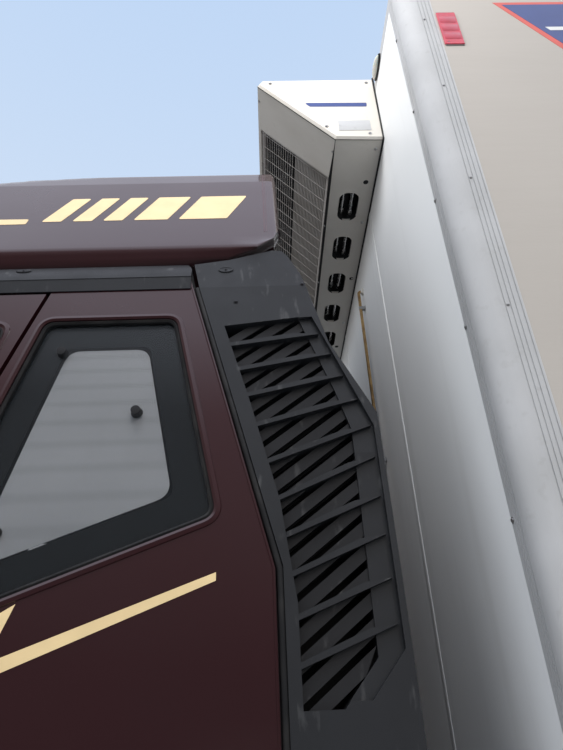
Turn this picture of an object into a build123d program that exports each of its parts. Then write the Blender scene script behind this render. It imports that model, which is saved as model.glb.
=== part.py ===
from build123d import *
import os
from math import cos, pi, radians, sin

os.makedirs("parts", exist_ok=True)

# Refrigerated box truck with two axles and a tilting cab over the engine.
# X points forward, Y to the truck's left and Z up, in millimetres.
# The origin is on the ground under the middle of the truck.

# Overall sizes
FRONT_X = 4494
BOX_REAR_X = -4460
BOX_FRONT_X = 2070
BOX_HALF_WIDTH = 1275
BOX_TOP_Z = 3780
BOX_BOTTOM_Z = 1080
WALL = 80

# Wheels: single tyres in front, twin tyres behind
FRONT_AXLE_X = 3065
REAR_AXLE_X = -1935
TYRE_RADIUS = 505
TYRE_WIDTH = 255
RIM_RADIUS = 286
RIM_WIDTH = 190
FRONT_WHEEL_Y = 1000
KINGPIN_Y = 850
TWIN_Y = 930
TWIN_SPACING = 315
FRONT_ARCH_RADIUS = 600
REAR_ARCH_RADIUS = 560

# Ladder frame
RAIL_OUTER_Y = 430
RAIL_FLANGE = 80
RAIL_GAUGE = 8
RAIL_TOP_Z = 960
RAIL_BOTTOM_Z = 710
RAIL_X = (-4300, 4300)

# Cab
CAB_REAR_X = 2540
CAB_FRONT_X = 4440
CAB_BOTTOM_Z = 1130
CAB_HALF_WIDTH = 1145
CAB_WALL = 45
SKIRT_BOTTOM_Z = 950
SILL_TOP_Z = CAB_BOTTOM_Z + CAB_WALL
CANT_RAIL_Z = 2556
SCREEN_BASE_Z = 1640
SCREEN_LEAN = 240 / 920
FRONT_SPLIT_X = 4211
DOOR_GAP = 11
TILT_X = 4370
TILT_Z = 925
BUMPER_TOP_Z = 885

# Cargo doors
DOOR_FRAME_DEPTH = 120
CARGO_DOOR_THICK = 76
CARGO_HINGE_X = -4483
CARGO_HINGE_Y = 1290
CARGO_HINGE_HEIGHTS = (1400, 2100, 2800, 3500)


def middle(span):
    """Return the middle of a (low, high) span."""
    return (span[0] + span[1]) / 2


def block(x, y, z, mode=Mode.ADD):
    """Add a box that fills three (low, high) spans."""
    with Locations((middle(x), middle(y), middle(z))):
        Box(x[1] - x[0], y[1] - y[0], z[1] - z[0], mode=mode)


def rod(plane, at, radius, length, mode, sides):
    """Extrude a circle, or a polygon with a level side below, from a plane."""
    with BuildSketch(plane) as section:
        with Locations(at):
            if sides:
                RegularPolygon(radius, sides, rotation=90 - 180 / sides)
            else:
                Circle(radius)
    extrude(section.sketch, amount=length, mode=mode)


def rod_x(radius, x, y, z, mode=Mode.ADD, sides=0):
    """Add a bar along X over the span x, round or with the given number of sides."""
    rod(Plane.YZ.offset(x[0]), (y, z), radius, x[1] - x[0], mode, sides)


def rod_y(radius, x, y, z, mode=Mode.ADD, sides=0):
    """Add a bar along Y over the span y, round or with the given number of sides."""
    rod(Plane.XZ.offset(-y[1]), (x, z), radius, y[1] - y[0], mode, sides)


def rod_z(radius, x, y, z, mode=Mode.ADD, sides=0):
    """Add a bar along Z over the span z, round or with the given number of sides."""
    rod(Plane.XY.offset(z[0]), (x, y), radius, z[1] - z[0], mode, sides)


def side_plate(points, y, mode=Mode.ADD, radius=0):
    """Extrude an outline of (x, z) points across the span y."""
    with BuildSketch(Plane.XZ.offset(-y[1])) as outline:
        Polygon(*points, align=None)
        if radius:
            fillet(outline.vertices(), radius)
    extrude(outline.sketch, amount=y[1] - y[0], mode=mode)


def front_plate(points, x, mode=Mode.ADD, radius=0):
    """Extrude an outline of (y, z) points along the span x."""
    with BuildSketch(Plane.YZ.offset(x[0])) as outline:
        Polygon(*points, align=None)
        if radius:
            fillet(outline.vertices(), radius)
    extrude(outline.sketch, amount=x[1] - x[0], mode=mode)


def plan_plate(points, z, mode=Mode.ADD, radius=0):
    """Extrude an outline of (x, y) points up the span z."""
    with BuildSketch(Plane.XY.offset(z[0])) as outline:
        Polygon(*points, align=None)
        if radius:
            fillet(outline.vertices(), radius)
    extrude(outline.sketch, amount=z[1] - z[0], mode=mode)


def mirror_left_to_right():
    """Add the right-hand copy of a piece drawn on the left."""
    mirror(about=Plane.XZ)


# Ladder frame: two channel rails, open towards each other.
# Arms at the front ends carry the pins that the cab tilts about.
PIN_RADIUS = 12
ARM_Y = (RAIL_OUTER_Y, RAIL_OUTER_Y + 20)
ARM_OUTLINE = [(4180, 940), (4180, 760), (4290, 760), (4385, 898), (4395, 925), (4378, 949), (4300, 956)]
with BuildPart() as frame_rails:
    with BuildSketch(Plane.YZ.offset(RAIL_X[0])):
        with Locations((RAIL_OUTER_Y - RAIL_FLANGE / 2, (RAIL_TOP_Z + RAIL_BOTTOM_Z) / 2)):
            Rectangle(RAIL_FLANGE, RAIL_TOP_Z - RAIL_BOTTOM_Z)
        with Locations((RAIL_OUTER_Y - RAIL_FLANGE / 2 - RAIL_GAUGE, (RAIL_TOP_Z + RAIL_BOTTOM_Z) / 2)):
            Rectangle(RAIL_FLANGE, RAIL_TOP_Z - RAIL_BOTTOM_Z - 2 * RAIL_GAUGE, mode=Mode.SUBTRACT)
    extrude(amount=RAIL_X[1] - RAIL_X[0])
    side_plate(ARM_OUTLINE, ARM_Y)
    rod_y(PIN_RADIUS, TILT_X, (ARM_Y[0], ARM_Y[1] + 30), TILT_Z)
    mirror_left_to_right()
frame_rails.part.label = "frame_rails"
export_step(frame_rails.part, "parts/frame_rails.step")

# Cross-members: I-sections between the rail webs, and the rear coupling plate.
CROSS_X = (4230, 3760, 2120, 1000, -100, -1090, -2780, -3500, -4240)
CROSS_Z = (770, 940)
CROSS_HALF = 45
COUPLING_X = (-4300, -4285)
COUPLING_Z = 850
COUPLING_SPACING = (160, 100)
COUPLING_HOLE_RADIUS = 10.5
web_y = RAIL_OUTER_Y - RAIL_GAUGE
with BuildPart() as cross_members:
    for x in CROSS_X:
        block((x - CROSS_HALF, x + CROSS_HALF), (-web_y, web_y), (CROSS_Z[0], CROSS_Z[0] + 10))
        block((x - CROSS_HALF, x + CROSS_HALF), (-web_y, web_y), (CROSS_Z[1] - 10, CROSS_Z[1]))
        block((x - 6, x + 6), (-web_y, web_y), CROSS_Z)
    block(COUPLING_X, (-150, 150), CROSS_Z)
    with Locations(Plane.YZ.offset(COUPLING_X[0]) * Location((0, COUPLING_Z, 0))):
        with GridLocations(COUPLING_SPACING[0], COUPLING_SPACING[1], 2, 2):
            Cylinder(COUPLING_HOLE_RADIUS, 80, mode=Mode.SUBTRACT)
cross_members.part.label = "cross_members"
export_step(cross_members.part, "parts/cross_members.step")

# Front bumper: a bowed wrap-round beam, with pockets for the lamps and a lower air slot.
BUMPER_Z = (430, BUMPER_TOP_Z)
BUMPER_REAR_X = 3990
BUMPER_WALL = 60
LAMP_Y = (790, 1075)
LAMP_Z = (650, 800)


def bumper_plan(inset):
    """Draw the bumper's plan outline, drawn in by inset."""
    with BuildLine() as outline:
        bow = ThreePointArc((FRONT_X - 75, -900), (FRONT_X, 0), (FRONT_X - 75, 900))
        corner = ThreePointArc(bow @ 1, (FRONT_X - 145, 1080), (FRONT_X - 290, 1148))
        flank = Line(corner @ 1, (3700, 1148))
        back = Line(flank @ 1, (3700, -1148))
        far_flank = Line(back @ 1, (FRONT_X - 290, -1148))
        ThreePointArc(far_flank @ 1, (FRONT_X - 145, -1080), bow @ 0)
    make_face(outline.edges())
    if inset:
        offset(amount=-inset)


def bumper_block(inset, z):
    """Build the solid inside the bumper's outline over the span z."""
    with BuildPart() as form:
        with BuildSketch(Plane.XY.offset(z[0])):
            bumper_plan(inset)
        extrude(amount=z[1] - z[0])
        block((BUMPER_REAR_X, FRONT_X + 100), (-1300, 1300), z, mode=Mode.INTERSECT)
    return form.part


with BuildPart() as front_bumper:
    add(bumper_block(0, BUMPER_Z))
    add(bumper_block(BUMPER_WALL, BUMPER_Z), mode=Mode.SUBTRACT)
    for side in (-1, 1):
        lamp_span = sorted((side * LAMP_Y[0], side * LAMP_Y[1]))
        block((4100, 4600), lamp_span, LAMP_Z, mode=Mode.SUBTRACT)
    block((4300, 4600), (-560, 560), (520, 640), mode=Mode.SUBTRACT)
front_bumper.part.label = "front_bumper"
export_step(front_bumper.part, "parts/front_bumper.step")

with BuildPart() as headlamps:
    add(bumper_block(5, LAMP_Z))
    add(bumper_block(BUMPER_WALL, LAMP_Z), mode=Mode.SUBTRACT)
    block((4100, 4600), (-LAMP_Y[1], LAMP_Y[1]), LAMP_Z, mode=Mode.INTERSECT)
    block((4100, 4600), (-LAMP_Y[0], LAMP_Y[0]), LAMP_Z, mode=Mode.SUBTRACT)
headlamps.part.label = "headlamps"
export_step(headlamps.part, "parts/headlamps.step")

# Front axle: a forged beam, dropped between the springs, with an eye for each kingpin.
AXLE_Z = TYRE_RADIUS
BEAM_HALF = 45
BEAM_TOP_Z = 480
EYE_RADIUS = 46
EYE_HALF_HEIGHT = 72
BEAM_OUTLINE = [
    (850, 550), (720, 550), (600, BEAM_TOP_Z), (-600, BEAM_TOP_Z), (-720, 550), (-850, 550),
    (-850, 460), (-740, 460), (-620, 380), (620, 380), (740, 460), (850, 460),
]
with BuildPart() as front_axle:
    front_plate(BEAM_OUTLINE, (FRONT_AXLE_X - BEAM_HALF, FRONT_AXLE_X + BEAM_HALF))
    for face_x in (FRONT_AXLE_X - BEAM_HALF, FRONT_AXLE_X + BEAM_HALF - 28):
        with BuildSketch(Plane.YZ.offset(face_x)):
            Polygon(*BEAM_OUTLINE, align=None)
            offset(amount=-22, kind=Kind.INTERSECTION)
        extrude(amount=28, mode=Mode.SUBTRACT)
    eye_z = (AXLE_Z - EYE_HALF_HEIGHT, AXLE_Z + EYE_HALF_HEIGHT)
    for side in (-1, 1):
        rod_z(EYE_RADIUS, FRONT_AXLE_X, side * KINGPIN_Y, eye_z)
        pad_y = (side * 390 - 45, side * 390 + 45)
        block((FRONT_AXLE_X - 70, FRONT_AXLE_X + 70), pad_y, (BEAM_TOP_Z - 12, BEAM_TOP_Z + 15))
front_axle.part.label = "front_axle"
export_step(front_axle.part, "parts/front_axle.step")

# Leaf springs with their hangers, under the rails.
# Columns: axle x, half length, seat z, pack thickness, eye z
SPRINGS = [
    (FRONT_AXLE_X, 700, BEAM_TOP_Z + 15, 72, 640),
    (REAR_AXLE_X, 750, 600, 80, 668),
]
SPRING_Y = (355, 425)
with BuildPart() as leaf_springs:
    for axle_x, half, seat_z, pack, eye_z in SPRINGS:
        with BuildSketch(Plane.XZ.offset(-SPRING_Y[1])):
            with BuildLine():
                rear_eye = (axle_x - half, eye_z - 8)
                low = ThreePointArc(rear_eye, (axle_x, seat_z), (axle_x + half, eye_z - 8))
                end = Line(low @ 1, (axle_x + half, eye_z + 8))
                ThreePointArc(end @ 1, (axle_x, seat_z + pack), (axle_x - half, eye_z + 8))
                Line((axle_x - half, eye_z + 8), low @ 0)
            make_face()
        extrude(amount=SPRING_Y[1] - SPRING_Y[0])
        for end_x in (axle_x - half, axle_x + half):
            rod_y(30, end_x, SPRING_Y, eye_z)
            hanger = [
                (end_x - 70, RAIL_BOTTOM_Z), (end_x - 30, eye_z),
                (end_x + 30, eye_z), (end_x + 70, RAIL_BOTTOM_Z),
            ]
            side_plate(hanger, SPRING_Y)
    mirror_left_to_right()
leaf_springs.part.label = "leaf_springs"
export_step(leaf_springs.part, "parts/leaf_springs.step")

# Rear axle: a banjo housing with brake plates and a spindle through each twin wheel.
HOUSING_RADIUS = 75
BACKPLATE_Y = (680, 692)
REAR_SPINDLE_RADIUS = 60
NOSE_X = -1560
# Columns: place along the axle, radius
BANJO_SECTIONS = [(-300, 75), (-210, 140), (-90, 200), (90, 200), (210, 140), (300, 75)]


def turned(axle_x, centre_y, sections, sides=36):
    """Build a flat-sided solid of (across, radius) sections about an axle, level below.

    The radius is measured to the middle of each side.
    """
    rings = []
    for across, radius in sections:
        corner = radius / cos(pi / sides)
        angles = [2 * pi * (i + 0.5) / sides for i in range(sides)]
        y = centre_y + across
        rings.append([(axle_x + corner * cos(a), y, AXLE_Z + corner * sin(a)) for a in angles])
    faces = [Face(Wire.make_polygon(rings[0])), Face(Wire.make_polygon(rings[-1]))]
    for near, far in zip(rings[:-1], rings[1:]):
        for i in range(sides):
            faces.append(Face(Wire.make_polygon([near[i - 1], near[i], far[i], far[i - 1]])))
    return Solid(Shell(faces))


with BuildPart() as rear_axle:
    rod_y(HOUSING_RADIUS, REAR_AXLE_X, (-BACKPLATE_Y[1], BACKPLATE_Y[1]), AXLE_Z, sides=16)
    rod_y(REAR_SPINDLE_RADIUS, REAR_AXLE_X, (-1000, 1000), AXLE_Z)
    add(turned(REAR_AXLE_X, 0, BANJO_SECTIONS, 16))
    with BuildSketch(Plane.YZ.offset(REAR_AXLE_X)):
        with Locations((0, AXLE_Z + 20)):
            RegularPolygon(140, 12)
    with BuildSketch(Plane.YZ.offset(NOSE_X)):
        with Locations((0, AXLE_Z + 20)):
            RegularPolygon(75, 12)
    loft(ruled=True)
    for side in (-1, 1):
        plate_span = sorted((side * BACKPLATE_Y[0], side * BACKPLATE_Y[1]))
        rod_y(195, REAR_AXLE_X, plate_span, AXLE_Z, sides=24)
        block((REAR_AXLE_X - 80, REAR_AXLE_X + 80), (side * 390 - 45, side * 390 + 45), (AXLE_Z, 600))
rear_axle.part.label = "rear_axle"
export_step(rear_axle.part, "parts/rear_axle.step")

# Propeller shaft in two lengths, with its centre bearing hung from a cross-member.
GEARBOX_REAR_X = 2202
SHAFT_POINTS = [(GEARBOX_REAR_X + 5, 0, 690), (1000, 0, 640), (NOSE_X, 0, AXLE_Z + 20)]
with BuildPart() as driveshaft:
    for start, end in zip(SHAFT_POINTS[:-1], SHAFT_POINTS[1:]):
        run = Vector(*end) - Vector(*start)
        with BuildSketch(Plane(origin=start, z_dir=run)):
            RegularPolygon(50, 12)
        extrude(amount=run.length)
    rod_y(60, SHAFT_POINTS[1][0], (-60, 60), SHAFT_POINTS[1][2], sides=12)
    block((980, 1020), (-70, 70), (640, CROSS_Z[0]))
    block((NOSE_X, GEARBOX_REAR_X), (-100, 100), (400, 900), mode=Mode.INTERSECT)
driveshaft.part.label = "driveshaft"
export_step(driveshaft.part, "parts/driveshaft.step")

# Engine and gearbox, as one plain heavy block on mounts that reach the rails.
with BuildPart() as engine_block:
    block((2600, 3640), (-320, 320), (515, 1095))
    block((GEARBOX_REAR_X, 2600), (-200, 200), (570, 880))
    for x in (2700, 3500):
        block((x - 50, x + 50), (-RAIL_OUTER_Y + RAIL_FLANGE, RAIL_OUTER_Y - RAIL_FLANGE), (760, 860))
engine_block.part.label = "engine_block"
export_step(engine_block.part, "parts/engine_block.step")

# Fuel tank on the right and battery box on the left, each on two arms from the rail.
TANK_X = (760, 1900)
TANK_Y = (-1190, -640)
TANK_Z = (450, 985)
with BuildPart() as fuel_tank:
    block(TANK_X, TANK_Y, TANK_Z)
    fillet(fuel_tank.edges().filter_by(Axis.X), 110)
    for x in (TANK_X[0] + 200, TANK_X[1] - 200):
        block((x - 35, x + 35), (-660, -RAIL_OUTER_Y), (740, 930))
        block((x - 35, x + 35), (-1100, -660), (TANK_Z[0] - 25, TANK_Z[0] + 5))
        block((x - 35, x + 35), (-660, -620), (TANK_Z[0] - 25, 930))
fuel_tank.part.label = "fuel_tank"
export_step(fuel_tank.part, "parts/fuel_tank.step")

BATTERY_X = (1230, 1900)
BATTERY_Y = (640, 1190)
BATTERY_Z = (560, 960)
with BuildPart() as battery_box:
    block(BATTERY_X, BATTERY_Y, BATTERY_Z)
    fillet(battery_box.edges().filter_by(Axis.X), 30)
    block((BATTERY_X[0] - 12, BATTERY_X[1] + 12), (BATTERY_Y[0] + 30, BATTERY_Y[1] + 10), (860, 975))
    for x in (BATTERY_X[0] + 120, BATTERY_X[1] - 120):
        block((x - 35, x + 35), (RAIL_OUTER_Y, 660), (740, 900))
battery_box.part.label = "battery_box"
export_step(battery_box.part, "parts/battery_box.step")

# Side guards: two rails and three posts on each side, hung from the box floor.
GUARD_X = (-1300, 480)
GUARD_RAILS_Z = ((430, 560), (720, 850))
with BuildPart() as side_guards:
    for z in GUARD_RAILS_Z:
        block(GUARD_X, (1222, 1248), z)
    for x in (GUARD_X[0] + 120, middle(GUARD_X), GUARD_X[1] - 120):
        block((x - 30, x + 30), (1195, 1222), (GUARD_RAILS_Z[0][0] + 20, BOX_BOTTOM_Z))
    mirror_left_to_right()
side_guards.part.label = "side_guards"
export_step(side_guards.part, "parts/side_guards.step")

# Front steps and mudguards: a moulded panel with two treads, and the arch behind it.
STEP_Y = (770, 1146)
STEP_X = (3560, BUMPER_REAR_X - 8)
STEP_Z = (400, 1085)
STEP_TREADS_Z = ((470, 690), (760, 980))
ARCH_CENTRE = (FRONT_AXLE_X, AXLE_Z)
ARCH_SIDES = 40
with BuildPart() as front_steps:
    block(STEP_X, STEP_Y, STEP_Z)
    for z in STEP_TREADS_Z:
        block((STEP_X[0] + 150, STEP_X[1] - 45), (900, 1200), z, mode=Mode.SUBTRACT)
    with BuildSketch(Plane.XZ.offset(-STEP_Y[1])):
        with Locations(ARCH_CENTRE):
            RegularPolygon(FRONT_ARCH_RADIUS + 10, ARCH_SIDES, rotation=90 - 180 / ARCH_SIDES)
        with Locations((FRONT_AXLE_X, AXLE_Z - 500)):
            Rectangle(3 * FRONT_ARCH_RADIUS, 1200, mode=Mode.SUBTRACT)
    extrude(amount=STEP_Y[1] - STEP_Y[0])
    for x in (FRONT_AXLE_X - 523, STEP_X[1] - 100):
        block((x - 20, x + 20), (RAIL_OUTER_Y, STEP_Y[0] + 10), (780, 820))
    rod_y(FRONT_ARCH_RADIUS, FRONT_AXLE_X, (600, 1300), AXLE_Z, Mode.SUBTRACT, ARCH_SIDES)
    mirror_left_to_right()
front_steps.part.label = "front_steps"
export_step(front_steps.part, "parts/front_steps.step")

# Rear mudguards: an arch over each twin wheel, on bars from the rail.
with BuildPart() as rear_mudguards:
    with BuildSketch(Plane.XZ.offset(-1235)):
        with Locations((REAR_AXLE_X, AXLE_Z)):
            RegularPolygon(REAR_ARCH_RADIUS + 8, ARCH_SIDES)
            RegularPolygon(REAR_ARCH_RADIUS, ARCH_SIDES, mode=Mode.SUBTRACT)
        with Locations((REAR_AXLE_X, AXLE_Z - 470)):
            Rectangle(3 * REAR_ARCH_RADIUS, 1200, mode=Mode.SUBTRACT)
    extrude(amount=600)
    block((REAR_AXLE_X - 553, REAR_AXLE_X - 545), (640, 1230), (330, 640))
    for side in (-1, 1):
        bar_x = REAR_AXLE_X + side * (REAR_ARCH_RADIUS + 4) * cos(radians(45))
        bar_z = AXLE_Z + (REAR_ARCH_RADIUS + 4) * sin(radians(45))
        block((bar_x - 15, bar_x + 15), (RAIL_OUTER_Y, 1200), (bar_z - 4, bar_z + 26))
    mirror_left_to_right()
rear_mudguards.part.label = "rear_mudguards"
export_step(rear_mudguards.part, "parts/rear_mudguards.step")

# Rear underrun bar on two drop brackets, with a plate for each tail lamp.
UNDERRUN_X = (-4420, -4340)
UNDERRUN_Z = (420, 520)
LAMP_PLATE_X = (-4412, -4402)
TAIL_LAMP_Y = (700, 1120)
TAIL_LAMP_Z = (560, 690)
DROP_OUTLINE = [
    (-4340, UNDERRUN_Z[0]), (-4340, 700), (-4290, 900),
    (-4160, 900), (-4160, 760), (-4290, 430),
]
with BuildPart() as rear_underrun:
    block(UNDERRUN_X, (-1200, 1200), UNDERRUN_Z)
    fillet(rear_underrun.edges().filter_by(Axis.Y), 12)
    for side in (-1, 1):
        side_plate(DROP_OUTLINE, sorted((side * RAIL_OUTER_Y, side * (RAIL_OUTER_Y + 16))))
        plate_y = sorted((side * (TAIL_LAMP_Y[0] - 10), side * (TAIL_LAMP_Y[1] + 10)))
        block(LAMP_PLATE_X, plate_y, (UNDERRUN_Z[1] - 15, TAIL_LAMP_Z[1] + 10))
rear_underrun.part.label = "rear_underrun"
export_step(rear_underrun.part, "parts/rear_underrun.step")

with BuildPart() as tail_lamps:
    block((LAMP_PLATE_X[0] - 45, LAMP_PLATE_X[0]), TAIL_LAMP_Y, TAIL_LAMP_Z)
    fillet(tail_lamps.edges().filter_by(Axis.X), 18)
    mirror_left_to_right()
tail_lamps.part.label = "tail_lamps"
export_step(tail_lamps.part, "parts/tail_lamps.step")

# Box body. The floor stands on two sills on the frame rails, with bearers across them.
FLOOR_TOP_Z = BOX_BOTTOM_Z + 120
WALLS_REAR_X = BOX_REAR_X + DOOR_FRAME_DEPTH
WALL_TOP_Z = 3685
PROFILE_X = BOX_FRONT_X - 105
PROFILE_Y = BOX_HALF_WIDTH - 95
PROFILE_ROUND = 55
inner_y = BOX_HALF_WIDTH - WALL
inner_front_x = BOX_FRONT_X - WALL
BEARER_X = (1850, 1400, 950, 500, 50, -400, -850, -1300, -2570, -3020, -3470, -3920, -4300)
with BuildPart() as box_floor:
    block((WALLS_REAR_X, inner_front_x), (-inner_y, inner_y), (BOX_BOTTOM_Z, FLOOR_TOP_Z))
    for side in (-1, 1):
        sill_y = sorted((side * (RAIL_OUTER_Y - 70), side * RAIL_OUTER_Y))
        block((WALLS_REAR_X, inner_front_x), sill_y, (RAIL_TOP_Z, BOX_BOTTOM_Z))
    for x in BEARER_X:
        block((x - 30, x + 30), (-inner_y, inner_y), (BOX_BOTTOM_Z - 60, BOX_BOTTOM_Z))
box_floor.part.label = "box_floor"
export_step(box_floor.part, "parts/box_floor.step")

# Walls: the front wall between the corner profiles, and the two side walls.
with BuildPart() as box_walls:
    block((inner_front_x, BOX_FRONT_X), (-PROFILE_Y, PROFILE_Y), (BOX_BOTTOM_Z, WALL_TOP_Z))
    block((WALLS_REAR_X, PROFILE_X), (inner_y, BOX_HALF_WIDTH), (BOX_BOTTOM_Z, WALL_TOP_Z))
    block((WALLS_REAR_X, PROFILE_X), (-BOX_HALF_WIDTH, -inner_y), (BOX_BOTTOM_Z, WALL_TOP_Z))
box_walls.part.label = "box_walls"
export_step(box_walls.part, "parts/box_walls.step")

with BuildPart() as box_roof:
    block((WALLS_REAR_X, PROFILE_X), (-PROFILE_Y, PROFILE_Y), (BOX_TOP_Z - WALL, BOX_TOP_Z))
box_roof.part.label = "box_roof"
export_step(box_roof.part, "parts/box_roof.step")

# Corner profiles: a rounded and grooved aluminium angle up each front corner,
# and one frame of the same section round the roof's front and sides.
PROFILE_JOINT = 0.5
FRONT_GROOVES_Y = (1196, 1208, 1217)
SIDE_GROOVES_X = (1972, 1985, 1996, 2008)
GROOVE = (3, 2)
with BuildPart() as corner_posts:
    with BuildSketch(Plane.XY.offset(BOX_BOTTOM_Z)) as section:
        with Locations((middle((PROFILE_X, BOX_FRONT_X)), middle((PROFILE_Y, BOX_HALF_WIDTH)))):
            Rectangle(BOX_FRONT_X - PROFILE_X, BOX_HALF_WIDTH - PROFILE_Y)
        fillet(section.vertices().sort_by(Axis.X)[2:].sort_by(Axis.Y)[-1], PROFILE_ROUND)
        with Locations((middle((PROFILE_X, inner_front_x)), middle((PROFILE_Y, inner_y)))):
            Rectangle(inner_front_x - PROFILE_X, inner_y - PROFILE_Y, mode=Mode.SUBTRACT)
        for y in FRONT_GROOVES_Y:
            with Locations((BOX_FRONT_X, y)):
                Rectangle(2 * GROOVE[1], GROOVE[0], mode=Mode.SUBTRACT)
        for x in SIDE_GROOVES_X:
            with Locations((x, BOX_HALF_WIDTH)):
                Rectangle(GROOVE[0], 2 * GROOVE[1], mode=Mode.SUBTRACT)
    extrude(amount=WALL_TOP_Z - PROFILE_JOINT - BOX_BOTTOM_Z)
    mirror_left_to_right()
with BuildPart() as roof_rim:
    block((WALLS_REAR_X, BOX_FRONT_X), (-BOX_HALF_WIDTH, BOX_HALF_WIDTH), (WALL_TOP_Z, BOX_TOP_Z))
    corners = roof_rim.edges().filter_by(Axis.Z).sort_by(Axis.X)[2:]
    top_edges = roof_rim.edges().group_by(Axis.Z)[-1].sort_by(Axis.X)[1:]
    fillet(corners + top_edges, PROFILE_ROUND)
    block((WALLS_REAR_X, PROFILE_X), (-PROFILE_Y, PROFILE_Y), (WALL_TOP_Z, BOX_TOP_Z), mode=Mode.SUBTRACT)
with BuildPart() as corner_profiles:
    add(corner_posts.part)
    add(roof_rim.part)
corner_profiles.part.label = "corner_profiles"
export_step(corner_profiles.part, "parts/corner_profiles.step")

# Rear door frame: a stepped ring that the doors close into, with the fixed hinge lugs.
STOP_X = BOX_REAR_X + CARGO_DOOR_THICK + 5
FRAME_OPEN_Y = 1222
FRAME_OPEN_Z = (1175, 3670)
LUG_HALF = 50
LUG_INNER = 26
LUG_RADIUS = 11
with BuildPart() as rear_door_frame:
    block((BOX_REAR_X, WALLS_REAR_X), (-BOX_HALF_WIDTH, BOX_HALF_WIDTH), (BOX_BOTTOM_Z, BOX_TOP_Z))
    block((BOX_REAR_X, STOP_X), (-FRAME_OPEN_Y, FRAME_OPEN_Y), FRAME_OPEN_Z, mode=Mode.SUBTRACT)
    inner_z = (FLOOR_TOP_Z, FRAME_OPEN_Z[1] - 20)
    block((STOP_X, WALLS_REAR_X), (-inner_y, inner_y), inner_z, mode=Mode.SUBTRACT)
    for z in CARGO_HINGE_HEIGHTS:
        for lug_z in ((z - LUG_HALF, z - LUG_INNER), (z + LUG_INNER, z + LUG_HALF)):
            for side in (-1, 1):
                rod_z(LUG_RADIUS, CARGO_HINGE_X, side * CARGO_HINGE_Y, lug_z)
                lug_y = sorted((side * BOX_HALF_WIDTH, side * CARGO_HINGE_Y))
                block((CARGO_HINGE_X, BOX_REAR_X + 80), lug_y, lug_z)
rear_door_frame.part.label = "rear_door_frame"
export_step(rear_door_frame.part, "parts/rear_door_frame.step")

# Cargo doors, each with two lock rods, their keepers' cams and four hinge straps.
CARGO_DOOR_Y = (8, 1214)
CARGO_DOOR_Z = (1183, 3662)
ROD_X = -4479.5
ROD_RADIUS = 13.5
ROD_Y = (330, 900)
ROD_GUIDES_Z = (1300, 1780, 2450, 3120, 3560)
STRAP_OUTLINE = [
    (BOX_REAR_X, 1010), (-4475, 1010), (-4475, 1284), (-4483, 1284), (-4483, 1290),
    (-4472, 1290), (-4465, 1280), (-4465, 1205), (BOX_REAR_X, 1205),
]
with BuildPart() as cargo_door_left:
    block((BOX_REAR_X, BOX_REAR_X + CARGO_DOOR_THICK), CARGO_DOOR_Y, CARGO_DOOR_Z)
    for z in CARGO_HINGE_HEIGHTS:
        plan_plate(STRAP_OUTLINE, (z - LUG_INNER + 1, z + LUG_INNER - 1))
        rod_z(LUG_RADIUS, CARGO_HINGE_X, CARGO_HINGE_Y, (z - LUG_INNER + 1, z + LUG_INNER - 1))
    for y in ROD_Y:
        rod_z(ROD_RADIUS, ROD_X, y, (1120, 3730), sides=8)
        for z in ROD_GUIDES_Z:
            block((-4490, BOX_REAR_X), (y - 30, y + 30), (z - 22, z + 22))
        for z in (1140, 3690):
            block((-4492, -4467), (y - 10, y + 42), (z, z + 30))
        block((-4493, -4470), (y - 20, y + 250), (1880, 1912))
cargo_door_left.part.label = "cargo_door_left"
export_step(cargo_door_left.part, "parts/cargo_door_left.step")

with BuildPart() as cargo_door_right:
    add(cargo_door_left.part.mirror(Plane.XZ))
cargo_door_right.part.label = "cargo_door_right"
export_step(cargo_door_right.part, "parts/cargo_door_right.step")

# Cooling unit on the front wall, flush with the roof: a wedge with a slanted front,
# five long drain and air holes in its underside and a recessed grille.
UNIT_HALF_WIDTH = 870
UNIT_BOTTOM_Z = 3412
UNIT_NOSE = (2544, 3750)
UNIT_CHIN = (2254, 3420)
HOLE_SPACING = 260
HOLE_SIZE = (163, 87)
GRILLE_SIZE = (1340, 410)
GRILLE_DEPTH = 45
slope_mid = (middle((UNIT_CHIN[0], UNIT_NOSE[0])), 0, middle((UNIT_CHIN[1], UNIT_NOSE[1])))
slope_face = Plane(
    origin=slope_mid,
    x_dir=(0, 1, 0),
    z_dir=(UNIT_NOSE[1] - UNIT_CHIN[1], 0, UNIT_CHIN[0] - UNIT_NOSE[0]),
)
UNIT_OUTLINE = [
    (BOX_FRONT_X, UNIT_BOTTOM_Z), UNIT_CHIN, UNIT_NOSE, (2524, BOX_TOP_Z), (BOX_FRONT_X, BOX_TOP_Z),
]
with BuildPart() as cooling_unit:
    side_plate(UNIT_OUTLINE, (-UNIT_HALF_WIDTH, UNIT_HALF_WIDTH))
    for end_face in (cooling_unit.faces().sort_by(Axis.Y)[-1], cooling_unit.faces().sort_by(Axis.Y)[0]):
        chamfer(end_face.edges().sort_by(Axis.X)[1:], 8)
    with BuildSketch(Plane.XY.offset(UNIT_BOTTOM_Z - 20)):
        with Locations((2168, 0)):
            with GridLocations(1, HOLE_SPACING, 1, 5):
                SlotOverall(HOLE_SIZE[0], HOLE_SIZE[1], rotation=90)
    extrude(amount=80, mode=Mode.SUBTRACT)
    with BuildSketch(slope_face):
        Rectangle(GRILLE_SIZE[0], GRILLE_SIZE[1])
    extrude(amount=-GRILLE_DEPTH, mode=Mode.SUBTRACT)
cooling_unit.part.label = "cooling_unit"
export_step(cooling_unit.part, "parts/cooling_unit.step")

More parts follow.
